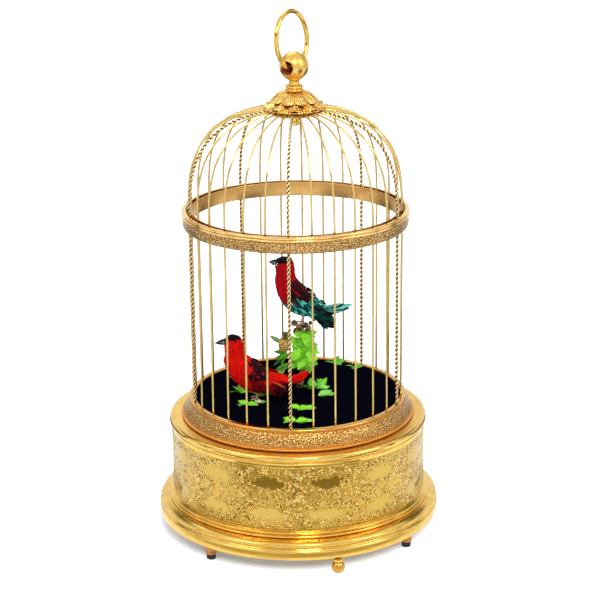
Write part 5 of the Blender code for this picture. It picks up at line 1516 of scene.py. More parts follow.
for single in (
        ((-4.5, 1.0, 100.5), -150, -6, 62, 7.5, MID), ((-5.0, 1.0, 100.0), -172, -2, 50, 8.0, MID),
        ((-6.5, 0.5, 99.0), -120, -22, 45, 6.0, MID), ((-7.0, 1.5, 101.2), 170, 12, 60, 6.5, MID),
        ((-9.0, 0.5, 97.5), -160, -24, 50, 5.5, DEEP), ((-4.0, 0.0, 94.8), -172, -6, 40, 8.0, PALE),
        ((-5.2, -1.0, 93.4), -150, -12, 45, 7.0, PALE), ((-7.5, -0.5, 92.2), 180, -2, 35, 6.5, PALE),
        ((-3.4, -1.0, 95.6), -120, -30, 55, 5.0, PALE), ((-9.2, 0.4, 108.0), 172, 38, 80, 7.8, FADED, slim_leaf),
        ((6.6, 0.0, 112.0), 60, 72, 70, 6.5, LIME, slim_leaf), ((2.5, -1.6, 119.5), 10, -30, 60, 3.6, DRY),
        ((4.4, -1.4, 120.6), -20, -50, 60, 3.6, DRY), ((5.6, -1.2, 118.2), 150, -20, 60, 3.6, DRY),
        ((7.0, 0.2, 106.5), -5, 10, 60, 5.4, LIME, slim_leaf)):
    add_leaf(bm, *single)
twig_leaves = shaped("twig_leaves", bm, leaf_finish, "case", "foliage", sharp=50)
print("leaves on the twig:", len(twig_leaves.data.polygons), "faces")

# %% Leaves on the floor
LEAVES_LIE_AT = 78.1
# where a spray starts, (heading, tilt, roll) of its leaves, their length and their green
SPRAYS_ON_FLOOR = (
    ((8.5, 6.0), ((100, 30, 10), (40, 22, -20), (150, 12, 20), (-30, 20, 15), (200, 20, 40), (-80, 30, 20)), 7.5, MID),
    ((12.0, 5.0), ((20, 6, 10), (-20, 8, -20), (60, 16, 20)), 7.0, PALE),
    ((13.5, 10.0), ((80, 40, 30), (30, 50, 20), (120, 30, 30)), 6.0, LIME),
    ((12.0, -5.0), ((4, 4, 15), (-14, 6, -10), (24, 12, 10)), 7.5, PALE),
    ((16.5, -4.0), ((6, 5, 10), (-20, 7, -10)), 6.5, PALE),
    ((-32.5, 1.0), ((100, 42, 20), (-40, 14, 10), (150, 30, 20), (210, 12, 20)), 6.6, LIME),
    ((-22.0, -4.0), ((160, 14, 20), (-10, 8, -20), (30, 16, 30)), 7.0, LIME),
    ((-28.0, -19.0), ((188, 3, 15), (150, 10, -10), (20, 6, 10), (215, 5, 20), (-30, 8, 0)), 6.4, LIME),
    ((-22.0, -17.0), ((30, 5, 10), (160, 8, 20)), 4.6, MID),
    ((0.5, -26.0), ((185, 4, 10), (12, 8, 20), (150, 12, -20), (-25, 5, 10)), 6.6, LIME),
    ((5.0, -26.5), ((0, 4, 10), (30, 10, 20)), 5.5, LIME),
    ((-1.0, -46.0), ((178, 4, 10), (6, 4, 20), (160, 10, -20), (-12, 8, 10), (210, 6, 10)), 7.2, LIME),
    ((4.2, -46.5), ((18, 5, 10), (-15, 6, 0)), 5.0, PALE),
    ((22.5, 49.0), ((170, 12, 10), (10, 14, 20), (-60, 8, 10), (60, 30, 20)), 6.6, MID),
    ((34.0, 42.5), ((178, 10, 10), (-10, 10, 20), (-80, 6, 10)), 5.6, MID),
    ((-12.0, 30.0), ((40, 20, 10), (120, 16, 10), (200, 12, 30)), 6.5, MID),
    ((-34.0, 22.0), ((80, 20, 10), (160, 16, 10), (10, 14, 20)), 6.0, PALE),
)
bm = leafy_bm()
lie = random.Random(5)
for (x, y), spray, length, tint in SPRAYS_ON_FLOOR:
    for heading, tilt, roll in spray:
        shade = tuple(c * lie.uniform(0.8, 1.15) for c in tint)
        at = (x + lie.uniform(-0.6, 0.6), y + lie.uniform(-0.6, 0.6), LEAVES_LIE_AT)
        add_leaf(bm, at, heading, tilt + 6, roll, length * lie.uniform(0.85, 1.1), shade)
floor_leaves = shaped("floor_leaves", bm, leaf_finish, "case", "foliage", sharp=50)
print("leaves on the floor:", len(floor_leaves.data.polygons), "faces")

# %% Blossom on the floor
blossom_finish = Finish("paper_blossom", (0.86, 0.80, 0.50), roughness=0.7)
point = blossom_finish.point()
blossom_finish.mottle(blossom_finish.noise(point, 0.9, 3.0), 0.40, 0.62, (0.90, 0.86, 0.66), (0.70, 0.52, 0.16))
blossom_finish.bump(blossom_finish.noise(point, 2.0, 3.0) * 0.08)
BLOSSOM_AT = Vector((-21.6, -18.0, 79.0)) * MM
petal_size = Matrix.Rotation(math.radians(-30), 4, "Y") @ Matrix.Diagonal((0.0029, 0.0052, 0.0029, 1))
bm = bmesh.new()
bm.verts.layers.float_vector.new("on_leaf")
for i in range(5):
    turn = Matrix.Rotation(math.radians(72 * i + 15), 4, "Z")
    add_copy(bm, slim_leaf, Matrix.Translation(BLOSSOM_AT) @ turn @ petal_size)
heart = bmesh.new()
bmesh.ops.create_icosphere(heart, subdivisions=2, radius=0.0008)
add_copy(bm, as_mesh(heart, "heart"), Matrix.Translation(BLOSSOM_AT + Vector((0, 0, 0.0003))))
flower = shaped("floor_blossom", bm, blossom_finish, "case", "foliage", sharp=50)
print("blossom has", len(flower.data.polygons), "faces")

# %% [markdown]
# ## Plumage
#
# The birds are carved forms covered with real dyed feathers, glued on in rows from the tail to the head. Each is
# made the same way here: a smooth form lofted through a few sections, then many small feathers laid over it like
# tiles. A feather is one grid of a few faces, cupped and pointed. Its colour is written to an attribute when it is
# laid, and a second attribute says where a point lies on the feather, so the shader can draw its shaft and barbs.

# %% Feather finish
def feather_finish(name):
    finish = Finish(name, (0.5, 0.02, 0.02), roughness=0.62, Specular_IOR_Level=0.06, Sheen_Weight=0.02,
                    Sheen_Roughness=0.35)
    dye = finish.attribute("dye", "colour")
    along, across, _ = finish.parts(finish.attribute("on_feather", "vector"))
    barbs = (along * 46.0 + abs(across) * 7.0).sine() * 0.5 + 0.5
    shaft = abs(across).step(0.10, 0.03)
    fray = finish.noise(finish.point(), 1.6, 4.0, 0.7)
    # darker towards each feather's root, which is painted shade where the next row covers it; the barbs and the fray
    # darken it too, as its own pattern
    shade = along.step(0.9, 0.15) * 0.35 + barbs * 0.12 + fray.step(0.35, 0.7) * 0.15
    dark = finish.node("ShaderNodeVectorMath", {"operation": "SCALE"}, {0: dye, "Scale": 0.42})
    finish.set("Base Color", finish.mix(shade, dye, dark))
    finish.bump(barbs * 0.05 + shaft * 0.05 + fray * 0.10)
    return finish


plumage = feather_finish("plumage")
horn = Finish("black_horn", (0.012, 0.011, 0.014), roughness=0.28)
point = horn.point()
horn.set("Roughness", horn.noise(point, 1.0, 3.0) * 0.3 + 0.15)
horn.bump(horn.noise(point, 2.2, 3.0) * 0.02)
glass_eye = Finish("glass_eye", (0.004, 0.004, 0.005), roughness=0.04, Coat_Weight=1.0, Coat_Roughness=0.03)
glass_eye.set("Roughness", glass_eye.noise(glass_eye.point(), 0.6, 2.0) * 0.05 + 0.03)
eye_ring = Finish("eye_ring", (0.80, 0.74, 0.70), roughness=0.5)
eye_ring.bump(eye_ring.noise(eye_ring.point(), 3.0, 3.0) * 0.05)
tan_leg = Finish("leg_wire", (0.62, 0.42, 0.24), roughness=0.5)
tan_leg.bump((tan_leg.parts(tan_leg.point())[2] * 9.0).sine() * 0.03)
print("plumage ready")


# %% Lofted form
def smooth_through(values, share):
    """A smooth value through evenly spaced ones."""
    last = len(values) - 1
    s = min(max(share, 0.0), 1.0) * last
    k = min(int(s), last - 1)
    t = s - k
    a, b, c, d = values[max(k - 1, 0)], values[k], values[k + 1], values[min(k + 2, last)]
    return b + 0.5 * t * (c - a + t * (2 * a - 5 * b + 4 * c - d + t * (3 * (b - c) + d - a)))


class Form:
    """A rounded form through sections of (along, up, half height, half width) in millimetres from a point."""

    def __init__(self, stand, sections):
        self.stand = stand
        self.along, self.up, self.high, self.wide = zip(*sections)

    def centre(self, t):
        return self.stand + Vector((smooth_through(self.along, t), 0, smooth_through(self.up, t))) * MM

    def point(self, t, a, swell=0.0):
        """On the skin: t from the first section to the last, a from 0 at the back round to 180 at the belly."""
        along = (self.centre(min(t + 0.01, 1)) - self.centre(max(t - 0.01, 0))).normalized()
        side = Vector((0, -1, 0))
        back = side.cross(along).normalized()
        high = smooth_through(self.high, t) + swell
        wide = smooth_through(self.wide, t) + swell
        angle = math.radians(a)
        return self.centre(t) + (back * (math.cos(angle) * high) + side * (math.sin(angle) * wide)) * MM

    def normal(self, t, a):
        down = self.point(min(t + 0.02, 1), a) - self.point(max(t - 0.02, 0), a)
        round_it = self.point(t, a + 4) - self.point(t, a - 4)
        n = down.cross(round_it).normalized()
        return n if n.dot(self.point(t, a) - self.centre(t)) > 0 else -n

    def mesh(self, rows=28, sides=28):
        bm = bmesh.new()
        previous = None
        for i in range(rows + 1):
            ring = bmesh.ops.create_circle(bm, cap_ends=i in (0, rows), radius=1, segments=sides)["verts"]
            for k, vert in enumerate(ring):
                vert.co = self.point(i / rows, 360 * k / sides)
            edges = {edge for vert in ring for edge in vert.link_edges}
            edges = [edge for edge in edges if all(v in ring for v in edge.verts)]
            if previous:
                bmesh.ops.bridge_loops(bm, edges=previous + edges)
            previous = edges
        bmesh.ops.recalc_face_normals(bm, faces=bm.faces[:])
        return bm


print("a quarter of the way from 0 to 1:", smooth_through((0, 1), 0.25))


# %% Feather shapes
def one_feather(segments, width_at, cup, curl):
    """A feather one unit long along +X and two wide, so a copy's scale sets both."""
    bm = bmesh.new()
    bmesh.ops.create_grid(bm, x_segments=segments, y_segments=2, size=1.0)
    layer = bm.verts.layers.float_vector.new("on_feather")
    for vert in bm.verts:
        u, v = (vert.co.x + 1) / 2, vert.co.y
        vert[layer] = (u, v, 0)
        half = width_at(u)
        vert.co = (u - 0.06 * abs(v) * (u > 0.8), v * half, -cup * v * v * half - curl * u * u)
    return as_mesh(bm, "one_feather")


def body_width(u):
    return math.sin(math.pi * (0.10 + 0.88 * u ** 1.1)) ** 0.7


def long_width(u):
    return min(1.0, 0.30 + 2.2 * u) * (1 - max(0, (u - 0.72) / 0.30) ** 2.2)


body_feather = one_feather(6, body_width, 0.35, 0.10)
long_feather = one_feather(14, long_width, 0.18, 0.06)
print("a small feather has", len(body_feather.polygons), "faces, a long one", len(long_feather.polygons))


# %% Laying feathers
class Coat:
    """Feathers that belong to one moving part."""

    def __init__(self):
        self.bm = bmesh.new()
        self.bm.verts.layers.float_vector.new("on_feather")
        self.dye = self.bm.verts.layers.float_color.new("dye")

    def form(self, bm, colour):
        """Adds the form under the feathers, dyed by where each of its points lies."""
        for vert in add_copy(self.bm, as_mesh(bm, "form")):
            vert[self.dye] = (*colour(vert.co), 1.0)

    def feather(self, at, heading, up, length, width, colour, shape=body_feather):
        heading = heading.normalized()
        side = up.cross(heading).normalized()
        up = heading.cross(side)
        matrix = Matrix((heading * length * MM, side * width * MM, up * width * MM)).transposed().to_4x4()
        matrix.translation = at
        for vert in add_copy(self.bm, shape, matrix):
            vert[self.dye] = (*colour, 1.0)

    def lay(self, form, rows, colour, length, width, lift, start, end, seed):
        """Rows of feathers over a form, from the last section to the first, so each row covers the one behind."""
        pick = random.Random(seed)
        for row in range(rows):
            t = end - (end - start) * row / (rows - 1)
            girth = smooth_through(form.high, t) * 2 * math.pi
            count = max(5, int(girth / (width * 1.15)))
            for k in range(count):
                a = 360 * (k + 0.5 * (row % 2) + pick.uniform(-0.2, 0.2)) / count
                at = form.point(t, a, 0.05)
                down = form.point(min(t + 0.03, 1.0), a) - form.point(max(t - 0.03, 0.0), a)
                n = form.normal(t, a)
                heading = down.normalized() + n * (lift + pick.uniform(-0.04, 0.06))
                heading += Vector((0, pick.uniform(-0.08, 0.08), 0))
                dye = colour(at)
                depth = pick.uniform(0.75, 1.25)
                long, wide = length * pick.uniform(0.85, 1.2), width * pick.uniform(0.85, 1.15)
                self.feather(at, heading, n, long, wide, tuple(c * depth for c in dye))

    def done(self, name, body, slot, replaces):
        made = shaped(name, self.bm, plumage, body, slot, (replaces,), sharp=0)
        print(name, "has", len(made.data.polygons), "faces")


print("coats are laid from the tail to the head")

# %% [markdown]
# ## The two birds
#
# The upper bird is a small honeycreeper-like thing with a black cap, scarlet front, maroon back and teal belly and
# tail. The lower one is scarlet with a dark, red-spotted back. Where one colour meets another the feathers
# interleave, so the border is ragged, which is done by letting each feather pick its colour with a little chance.

# %% Colours of the birds
BLACK, SCARLET, DEEP_SCARLET = (0.004, 0.004, 0.006), (0.95, 0.006, 0.003), (0.60, 0.003, 0.007)
MAROON, UMBER = (0.050, 0.004, 0.012), (0.012, 0.006, 0.005)
TEAL, PALE_TEAL, DEEP_TEAL = (0.008, 0.32, 0.24), (0.20, 0.85, 0.66), (0.003, 0.060, 0.050)
CRIMSON, WINE, NIGHT = (0.34, 0.003, 0.008), (0.060, 0.003, 0.007), (0.014, 0.004, 0.006)
UPPER = Vector((0.0024, 0.0, 0.1192))
LOWER = Vector((-0.0235, -0.0100, 0.0781))
chance = random.Random(3)


def some_teal(pick):
    draw = pick.random()
    return PALE_TEAL if draw < 0.34 else (TEAL if draw < 0.74 else DEEP_TEAL)


def upper_colour(at):
    """By the height and place of the point, relative to the upper bird's feet."""
    p = (at - UPPER) / MM
    wobble = chance.uniform(-1.4, 1.4)
    if p.z < 16.0 + wobble:
        return some_teal(chance)
    if p.z < 27.8 + wobble and p.x > -5.5 + (p.z - 27.8) * 0.28 + wobble * 0.4:
        return MAROON if chance.random() < 0.65 else (UMBER if chance.random() < 0.7 else DEEP_SCARLET)
    return DEEP_SCARLET


def lower_colour(at):
    p = (at - LOWER) / MM
    wobble = chance.uniform(-1.0, 1.0)
    if p.x < -4.5 + wobble:
        return SCARLET
    if p.x > 5 + wobble and 10.0 < p.z:
        return SCARLET
    if p.z > 15.5 + wobble:
        return WINE if chance.random() < 0.5 else NIGHT
    return CRIMSON if p.x < 4 + wobble else WINE


def cap_colour(stand, cap_z, slope, front_x, base, face_z):
    """A cap that ends above the eye, with a dark face where the beak starts."""
    def colour(at):
        p = (at - stand) / MM
        line = cap_z + slope * (p.x - front_x)
        mask = p.x < front_x + 0.6 and p.z > face_z
        return BLACK if p.z > line + chance.uniform(-0.3, 0.3) or mask else base
    return colour


print("upper bird stands at", [round(c, 4) for c in UPPER], "and the lower at", [round(c, 4) for c in LOWER])

# %% [markdown]
# ### Beaks, eyes, legs, wings and tails
#
# Both birds are built from the same parts. The beak is of horn in two halves, and the lower half has a body of its
# own because it opens. The eyes are glass beads in pale rims. The legs are wire with a bent knee and four toes. The
# long feathers of a folded wing fan out from its front edge and all point at its tip, and small feathers cover
# their roots.

# %% Beaks and eyes
UPPER_BEAK_TAPER = [1.0, 0.98, 0.93, 0.87, 0.79, 0.70, 0.61, 0.52, 0.43, 0.34, 0.26, 0.18, 0.08]
LOWER_BEAK_TAPER = [0.8, 1.0, 0.98, 0.92, 0.84, 0.70, 0.54, 0.38, 0.14]
EYE_RADIUS, RIM_RADIUS, RIM_WIRE = 0.00078, 0.00086, 0.00026


def beak(name, stand, head_body, beak_body, root, tip, drop, replaced):
    """The upper half rides on the head, and the lower half on its own hinge."""
    a, b = (stand + Vector((end[0], 0, end[1])) * MM for end in (root, tip))
    reach = (b - a).normalized()
    below = Vector((-reach.z, 0, reach.x))
    if below.z > 0:
        below = -below
    upper = []
    for s in (k / 12 for k in range(13)):
        upper.append(a + (b - a) * s + below * (0.0003 * s ** 3 - 0.0004 * math.sin(math.pi * s)))
    shaped(f"{name}_bill", sweep(upper, 0.00115, 16, UPPER_BEAK_TAPER), horn, head_body, "black_horn", sharp=60)
    low_root, low_tip = a + reach * drop * MM + below * 0.00165, b - reach * 0.0008 + below * 0.00030
    lower = [low_root.lerp(low_tip, k / 8) for k in range(9)]
    shaped(f"{name}_jaw", sweep(lower, 0.00080, 12, LOWER_BEAK_TAPER), horn, beak_body, "black_horn", (replaced,),
           sharp=60)


def eyes(name, stand, head_body, along, up, aside):
    """A glass bead and a pale rim on each side of the head."""
    for side, hand in ((-1, "left"), (1, "right")):
        at = stand + Vector((along, side * aside, up)) * MM
        bm = bmesh.new()
        bmesh.ops.create_uvsphere(bm, u_segments=24, v_segments=14, radius=EYE_RADIUS)
        shaped(f"{name}_eye_{hand}", bm, glass_eye, head_body, "black_horn", sharp=0, matrix=Matrix.Translation(at))
        bm = bmesh.new()
        section_at = Matrix.Translation((RIM_RADIUS, 0, 0)) @ upright
        section = bmesh.ops.create_circle(bm, radius=RIM_WIRE, segments=10, matrix=section_at)
        spin_round(bm, section["verts"] + bm.edges[:], 28)
        facing = Matrix.Translation(at + Vector((0, side * 0.00022, 0))) @ upright
        shaped(f"{name}_eye_rim_{hand}", bm, eye_ring, head_body, "black_horn", sharp=0, matrix=facing)


print("a beak tapers in", len(UPPER_BEAK_TAPER), "rings")

# %% Legs
LEG_SPREAD, HIP_HIGH = 2.2, 10.0
# (turn, length) of each toe
TOES = ((180, 3.2), (150, 2.8), (210, 2.8), (0, 2.0))


def legs(name, stand):
    bm = bmesh.new()
    for side in (-1, 1):
        foot = stand + Vector((0, side * LEG_SPREAD, 0)) * MM
        knee = foot + Vector((1.4, 0, 5.0)) * MM
        hip = foot + Vector((-0.4, side * 0.3, HIP_HIGH)) * MM
        leg = [foot + Vector((0, 0, 0.0002)), foot.lerp(knee, 0.5), knee, knee.lerp(hip, 0.5), hip]
        add_swept(bm, leg, 0.00055, 10, [1.1, 0.8, 1.15, 1.0, 1.5])
        for toe_turn, length in TOES:
            a = math.radians(toe_turn)
            end = foot + Vector((math.cos(a) * length, math.sin(a) * length * 0.55, -0.05)) * MM
            toe = []
            for k in range(5):
                arch = 0.00045 + 0.0004 * math.sin(math.pi * k / 4)
                toe.append(foot.lerp(end, k / 4) + Vector((0, 0, arch)))
            add_swept(bm, toe, 0.00036, 8, [1.3, 1.0, 1.1, 0.8, 0.3])
    shaped(f"{name}_legs", bm, tan_leg, "case", "black_horn", sharp=0)


print("each foot has", len(TOES), "toes")


# %% Wings
class Wing:
    """A folded wing along a spine of (along, up, half height, distance from the middle) in millimetres."""

    def __init__(self, stand, spine, side):
        self.stand = stand
        self.side = side
        self.base = [Vector((x, side * (out + 0.25), z)) for x, z, _, out in spine]
        self.halves = [half for _, _, half, _ in spine]
        last = self.base[-1]
        self.tip = stand + (last + (last - self.base[-2]).normalized() * 1.4) * MM

    def outward(self, amount):
        return Vector((0, self.side * amount, 0))

    def spot(self, s, v):
        """The point s along the wing and v across it from -1, its lower edge, to 1, and both directions there."""
        k = min(max(s, 0), 1) * (len(self.base) - 1)
        i = min(int(k), len(self.base) - 2)
        p = self.base[i].lerp(self.base[i + 1], k - i)
        half = self.halves[i] + (self.halves[i + 1] - self.halves[i]) * (k - i)
        along = (self.base[i + 1] - self.base[i]).normalized()
        across = Vector((-along.z, 0, along.x)).normalized()
        bulge = 1.15 * (1 - v * v) * math.sin(math.pi * min(max(s, 0.05), 0.95))
        return self.stand + (p + across * half * v + self.outward(bulge * 0.6)) * MM, along, across

    def fan(self, coat, length, width, start, end, count, colour, pick):
        """Long feathers from start to end, both (s, v), that all point at the wing's tip."""
        for k in range(count):
            f = k / (count - 1)
            at, along, across = self.spot(start[0] + (end[0] - start[0]) * f, start[1] + (end[1] - start[1]) * f)
            heading = (self.tip - at).normalized() + across * (0.10 * f - 0.04)
            reach = min(length, (self.tip - at).length / MM * (1 - 0.12 * f))
            at = at + self.outward(0.10 + 0.09 * k) * MM
            coat.feather(at, heading, self.outward(1) + across * 0.15, reach, width, colour(f, pick), long_feather)

    def cover(self, coat, rows, count, colour, pick):
        """Rows of small feathers over the roots of the long ones."""
        for row in range(rows):
            s = 0.74 - 0.72 * row / (rows - 1)
            for k in range(count):
                v = -0.92 + 1.84 * (k + 0.5 * (row % 2)) / (count - 1) + pick.uniform(-0.08, 0.08)
                if abs(v) > 1.0:
                    continue
                at, along, across = self.spot(s + pick.uniform(-0.02, 0.02), v)
                out = self.outward(1) + across * v * 0.7
                heading = along + out.normalized() * 0.12 + across * pick.uniform(-0.12, 0.12)
                on_top = at + self.outward(0.45 + 0.04 * row) * MM
                length, width = pick.uniform(3.6, 4.8), pick.uniform(0.95, 1.25)
                coat.feather(on_top, heading, out, length, width, colour(at, pick))


print("wing class ready")


# %% Both wings
def wings(coat, stand, spine, fans, fan_colour, cover_colour, seed):
    """Each fan is (length, width, start, end, count)."""
    pick = random.Random(seed)
    for side in (-1, 1):
        wing = Wing(stand, spine, side)
        for fan in fans:
            wing.fan(coat, *fan, fan_colour, pick)
        wing.cover(coat, 9, 8, cover_colour, pick)


print("wings ready")


# %% Tails
def tail_feathers(coat, root, tip, plan):
    """Long feathers from the root to the tip's side. Each is (sideways turn, lift, length share, width, colour)."""
    reach = tip - root
    along = reach.normalized()
    side = Vector((0, 1, 0))
    up = along.cross(side).normalized()
    if up.z < 0:
        up = -up
    for aside, lift, share, width, colour in plan:
        heading = along + side * aside + up * lift
        start = root + side * (aside * 0.004) + up * (lift * 0.004)
        coat.feather(start, heading, up + side * aside * 6.0, reach.length / MM * share, width, colour, long_feather)


def head_coat(name, stand, sections, colour, seed, body, replaced):
    """A head is laid from its crown down, so that its feathers lie towards the neck."""
    form = Form(stand, sections[::-1])
    coat = Coat()
    coat.form(form.mesh(18, 28), colour)
    coat.lay(form, 13, colour, 2.2, 0.60, 0.06, 0.05, 0.86, seed)
    coat.done(name, body, "scarlet_feather", replaced)


print("tail and head ready")

# %% [markdown]
# ### The upper bird
#
# It stands upright with its tail out level behind and its wing tips dropped. The head is a form of its own, because
# a cam in the drum turns it while the song plays.

# %% Upper bird's body
def upper_wing_colour(at, pick):
    p = (at - UPPER) / MM
    if p.x > 7.5 + pick.uniform(-1, 1):
        return UMBER if pick.random() < 0.6 else DEEP_TEAL
    if p.z < 17.5 + pick.uniform(-1.5, 1.5):
        return some_teal(pick)
    return MAROON if pick.random() < 0.62 else (UMBER if pick.random() < 0.88 else DEEP_SCARLET)


def upper_fan_colour(f, pick):
    return UMBER if pick.random() < 0.6 else (0.006, 0.020, 0.016)


trunk = Form(UPPER, [(-8.5, 30.6, 5.3, 5.2), (-8.1, 25.8, 6.0, 5.6), (-5.8, 20.2, 7.2, 6.6), (-1.8, 14.6, 7.4, 6.8),
                     (3.6, 11.0, 6.2, 5.7), (8.8, 9.8, 4.2, 3.9), (12.4, 9.6, 2.3, 2.2)])
coat = Coat()
coat.form(trunk.mesh(), upper_colour)
coat.lay(trunk, 26, upper_colour, 3.4, 0.85, 0.10, 0.04, 0.97, 11)
spine = [(-5.9, 23.3, 2.2, 5.4), (-1.0, 18.0, 4.4, 6.8), (6.4, 10.8, 4.6, 6.3), (13.8, 3.8, 3.6, 5.2),
         (18.6, -0.4, 1.6, 4.2)]
fans = ((14.0, 1.2, (0.60, -0.75), (0.62, 0.45), 7), (14.0, 1.2, (0.52, -0.6), (0.52, 0.6), 6))
wings(coat, UPPER, spine, fans, upper_fan_colour, upper_wing_colour, 41)
coat.done("upper_bird_coat", "case", "maroon_feather", "perched_bird_body")
print("upper bird's body feathered")

# %% Upper bird's head, tail and legs
head_sections = [(-8.5, 31.0, 5.2, 5.1), (-8.7, 33.3, 5.2, 4.8), (-9.2, 36.3, 4.7, 4.3), (-9.5, 38.5, 3.4, 3.1),
                 (-9.6, 39.6, 1.2, 1.1)]
head_coat("upper_bird_head", UPPER, head_sections, cap_colour(UPPER, 37.6, 0.20, -13.0, DEEP_SCARLET, 36.0), 12,
          "upper_head", "perched_bird_head")
beak("upper_bird", UPPER, "upper_head", "upper_beak", (-12.6, 37.1), (-18.1, 36.8), 1.9, "perched_bird_beak")
eyes("upper_bird", UPPER, "upper_head", -12.4, 36.0, 2.75)

coat = Coat()
SHADOW_TEAL, GREY_TEAL = (0.01, 0.06, 0.05), (0.02, 0.10, 0.08)
ICE, ICE_SHADE = (0.30, 0.90, 0.74), (0.26, 0.88, 0.72)
tail_root = UPPER + Vector((13.0, 0, 9.57)) * MM
tail_tip = UPPER + Vector((30.8, 0, 11.4)) * MM
tail_feathers(coat, tail_root, tail_tip, [
    (0.16, -0.16, 0.60, 1.7, DEEP_TEAL), (-0.16, -0.16, 0.60, 1.7, TEAL), (0.14, -0.10, 0.72, 1.7, TEAL),
    (-0.14, -0.11, 0.74, 1.7, PALE_TEAL), (0.10, -0.05, 0.84, 1.6, PALE_TEAL), (-0.11, -0.06, 0.86, 1.6, GREY_TEAL),
    (0.12, 0.02, 0.76, 1.6, PALE_TEAL), (-0.12, 0.01, 0.78, 1.6, ICE), (0.05, 0.01, 0.96, 1.5, TEAL),
    (-0.06, 0.02, 0.98, 1.6, ICE_SHADE), (0.0, 0.05, 0.92, 1.5, PALE_TEAL), (-0.08, 0.08, 0.66, 1.6, SHADOW_TEAL),
    (0.08, 0.10, 0.62, 1.6, PALE_TEAL), (-0.03, 0.12, 0.58, 1.6, ICE)])
coat.done("upper_bird_tail", "upper_tail", "teal_feather", "perched_bird_tail")
legs("upper_bird", UPPER)
print("upper bird dressed")

# %% [markdown]
# ### The lower bird
#
# It leans back with its long beak forward. Its wings are shorter, scarlet feathers lie over its rump, and the dark
# back carries round red spots, which are single short feathers. Each spot is found by a ray from the side, so it
# lies on the feathers that are already there.

# %% Lower bird's body
def lower_wing_colour(at, pick):
    p = (at - LOWER) / MM
    if p.x < -4.5 + pick.uniform(-1, 1):
        return SCARLET
    if p.z > 15.5 + pick.uniform(-0.8, 0.8) and p.x < 6:
        return WINE if pick.random() < 0.5 else NIGHT
    if p.x > 4 and p.z > 12.5 + pick.uniform(-1, 1):
        return SCARLET
    return CRIMSON if p.x < 7 + pick.uniform(-2, 2) else WINE


def lower_fan_colour(f, pick):
    return CRIMSON if f > 0.6 else WINE


trunk = Form(LOWER, [(-11.9, 28.1, 5.3, 5.2), (-10.7, 23.4, 6.7, 6.2), (-7.0, 17.9, 7.8, 7.2), (-1.5, 13.5, 8.0, 7.4),
                     (5.0, 10.7, 6.8, 6.3), (11.0, 9.5, 4.6, 4.2), (14.7, 9.5, 2.4, 2.2)])
coat = Coat()
coat.form(trunk.mesh(), lower_colour)
coat.lay(trunk, 27, lower_colour, 3.4, 0.90, 0.10, 0.04, 0.97, 21)
spine = [(-8.3, 21.9, 2.2, 5.6), (-2.7, 17.9, 4.8, 7.2), (5.5, 12.4, 5.0, 6.6), (13.0, 8.1, 3.6, 5.2),
         (17.3, 5.7, 1.7, 4.0)]
fans = ((14.0, 1.3, (0.50, -0.8), (0.52, 0.55), 8), (14.0, 1.3, (0.42, -0.8), (0.42, 0.5), 7))
wings(coat, LOWER, spine, fans, lower_fan_colour, lower_wing_colour, 43)
for aside in (-3.6, -2.2, -0.8, 0.8, 2.2, 3.6):
    at = LOWER + Vector((5.0 + abs(aside), aside, 17.0 - abs(aside) * 0.55)) * MM
    coat.feather(at, Vector((1, 0, -0.22)), Vector((0, aside * 0.22, 1)), 12.5, 1.7, SCARLET, long_feather)
skin = BVHTree.FromBMesh(coat.bm)
SPOT, EDGE_SCARLET = (0.55, 0.010, 0.025), (0.95, 0.16, 0.05)
SPOTS = ((-1.0, 19.0), (1.6, 21.4), (3.6, 18.2), (-3.0, 21.8), (0.8, 16.6), (5.2, 19.6))
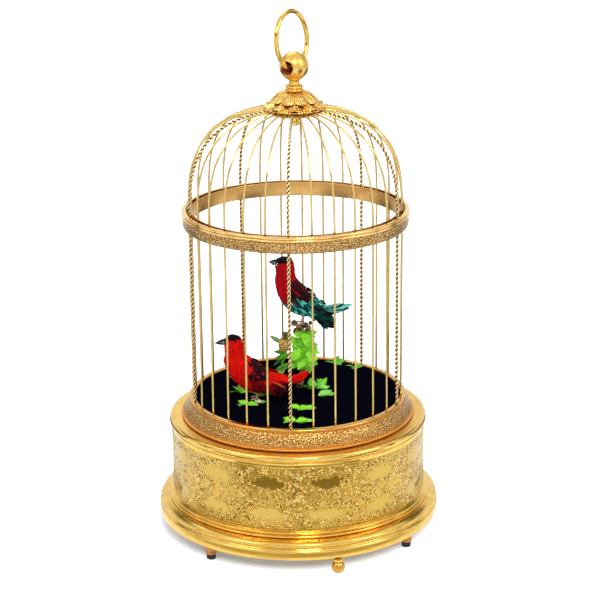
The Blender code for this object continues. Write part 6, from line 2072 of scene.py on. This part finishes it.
for side in (-1, 1):
    outward = Vector((0, side, 0.5))
    for x, z in SPOTS:
        at, _, _, _ = skin.ray_cast(LOWER + Vector((x, side * 20.0, z)) * MM, Vector((0, -side, 0)))
        if at is not None:
            coat.feather(at + outward * 0.0003, Vector((1, 0, -0.35)), outward, 1.9, 0.75, SPOT)
    edge = LOWER + Vector((8.6, side * 8.6, 14.0)) * MM
    wing_edge = Vector((8.9, side * -1.5, -5.3))
    coat.feather(edge, wing_edge, Vector((0, side, 0.3)), 10.2, 0.32, EDGE_SCARLET, long_feather)
coat.done("lower_bird_coat", "case", "crimson_feather", "ground_bird_body")
print("lower bird's body feathered")

# %% Lower bird's head, tail and legs
head_sections = [(-11.9, 28.6, 5.2, 5.1), (-11.9, 30.9, 5.2, 4.9), (-12.3, 34.4, 4.8, 4.4), (-12.6, 37.1, 3.5, 3.2),
                 (-12.7, 38.6, 1.2, 1.1)]
head_coat("lower_bird_head", LOWER, head_sections, cap_colour(LOWER, 36.7, 0.12, -16.0, SCARLET, 34.8), 22,
          "lower_head", "ground_bird_head")
beak("lower_bird", LOWER, "lower_head", "lower_beak", (-15.6, 35.6), (-23.0, 33.5), 2.4, "ground_bird_beak")
eyes("lower_bird", LOWER, "lower_head", -14.9, 34.6, 3.35)

coat = Coat()
tail_root = LOWER + Vector((15.3, 0, 9.5)) * MM
tail_tip = LOWER + Vector((31.5, 3.0, 16.5)) * MM
tail_feathers(coat, tail_root, tail_tip, [
    (0.14, -0.14, 0.70, 1.6, CRIMSON), (-0.14, -0.14, 0.72, 1.6, CRIMSON), (0.10, -0.06, 0.85, 1.7, SCARLET),
    (-0.10, -0.07, 0.88, 1.7, SCARLET), (0.05, 0.0, 0.97, 1.6, SCARLET), (-0.05, 0.01, 0.98, 1.7, SCARLET),
    (0.0, 0.06, 0.82, 1.6, (0.98, 0.05, 0.02)), (-0.08, 0.08, 0.60, 1.6, SCARLET)])
coat.done("lower_bird_tail", "lower_tail", "scarlet_feather", "ground_bird_tail")
legs("lower_bird", LOWER)
print("lower bird dressed")

# %% [markdown]
# ## Measure and finish
#
# The dressed cage has to fill the same box as the solid model. Its box is worked out here, and its triangles are
# counted and printed.

# %% Sizes
low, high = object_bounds()
meshes = [o.data for o in bpy.data.objects if o.type == "MESH"]
print("triangles", sum(sum(len(p.vertices) - 2 for p in mesh.polygons) for mesh in meshes))
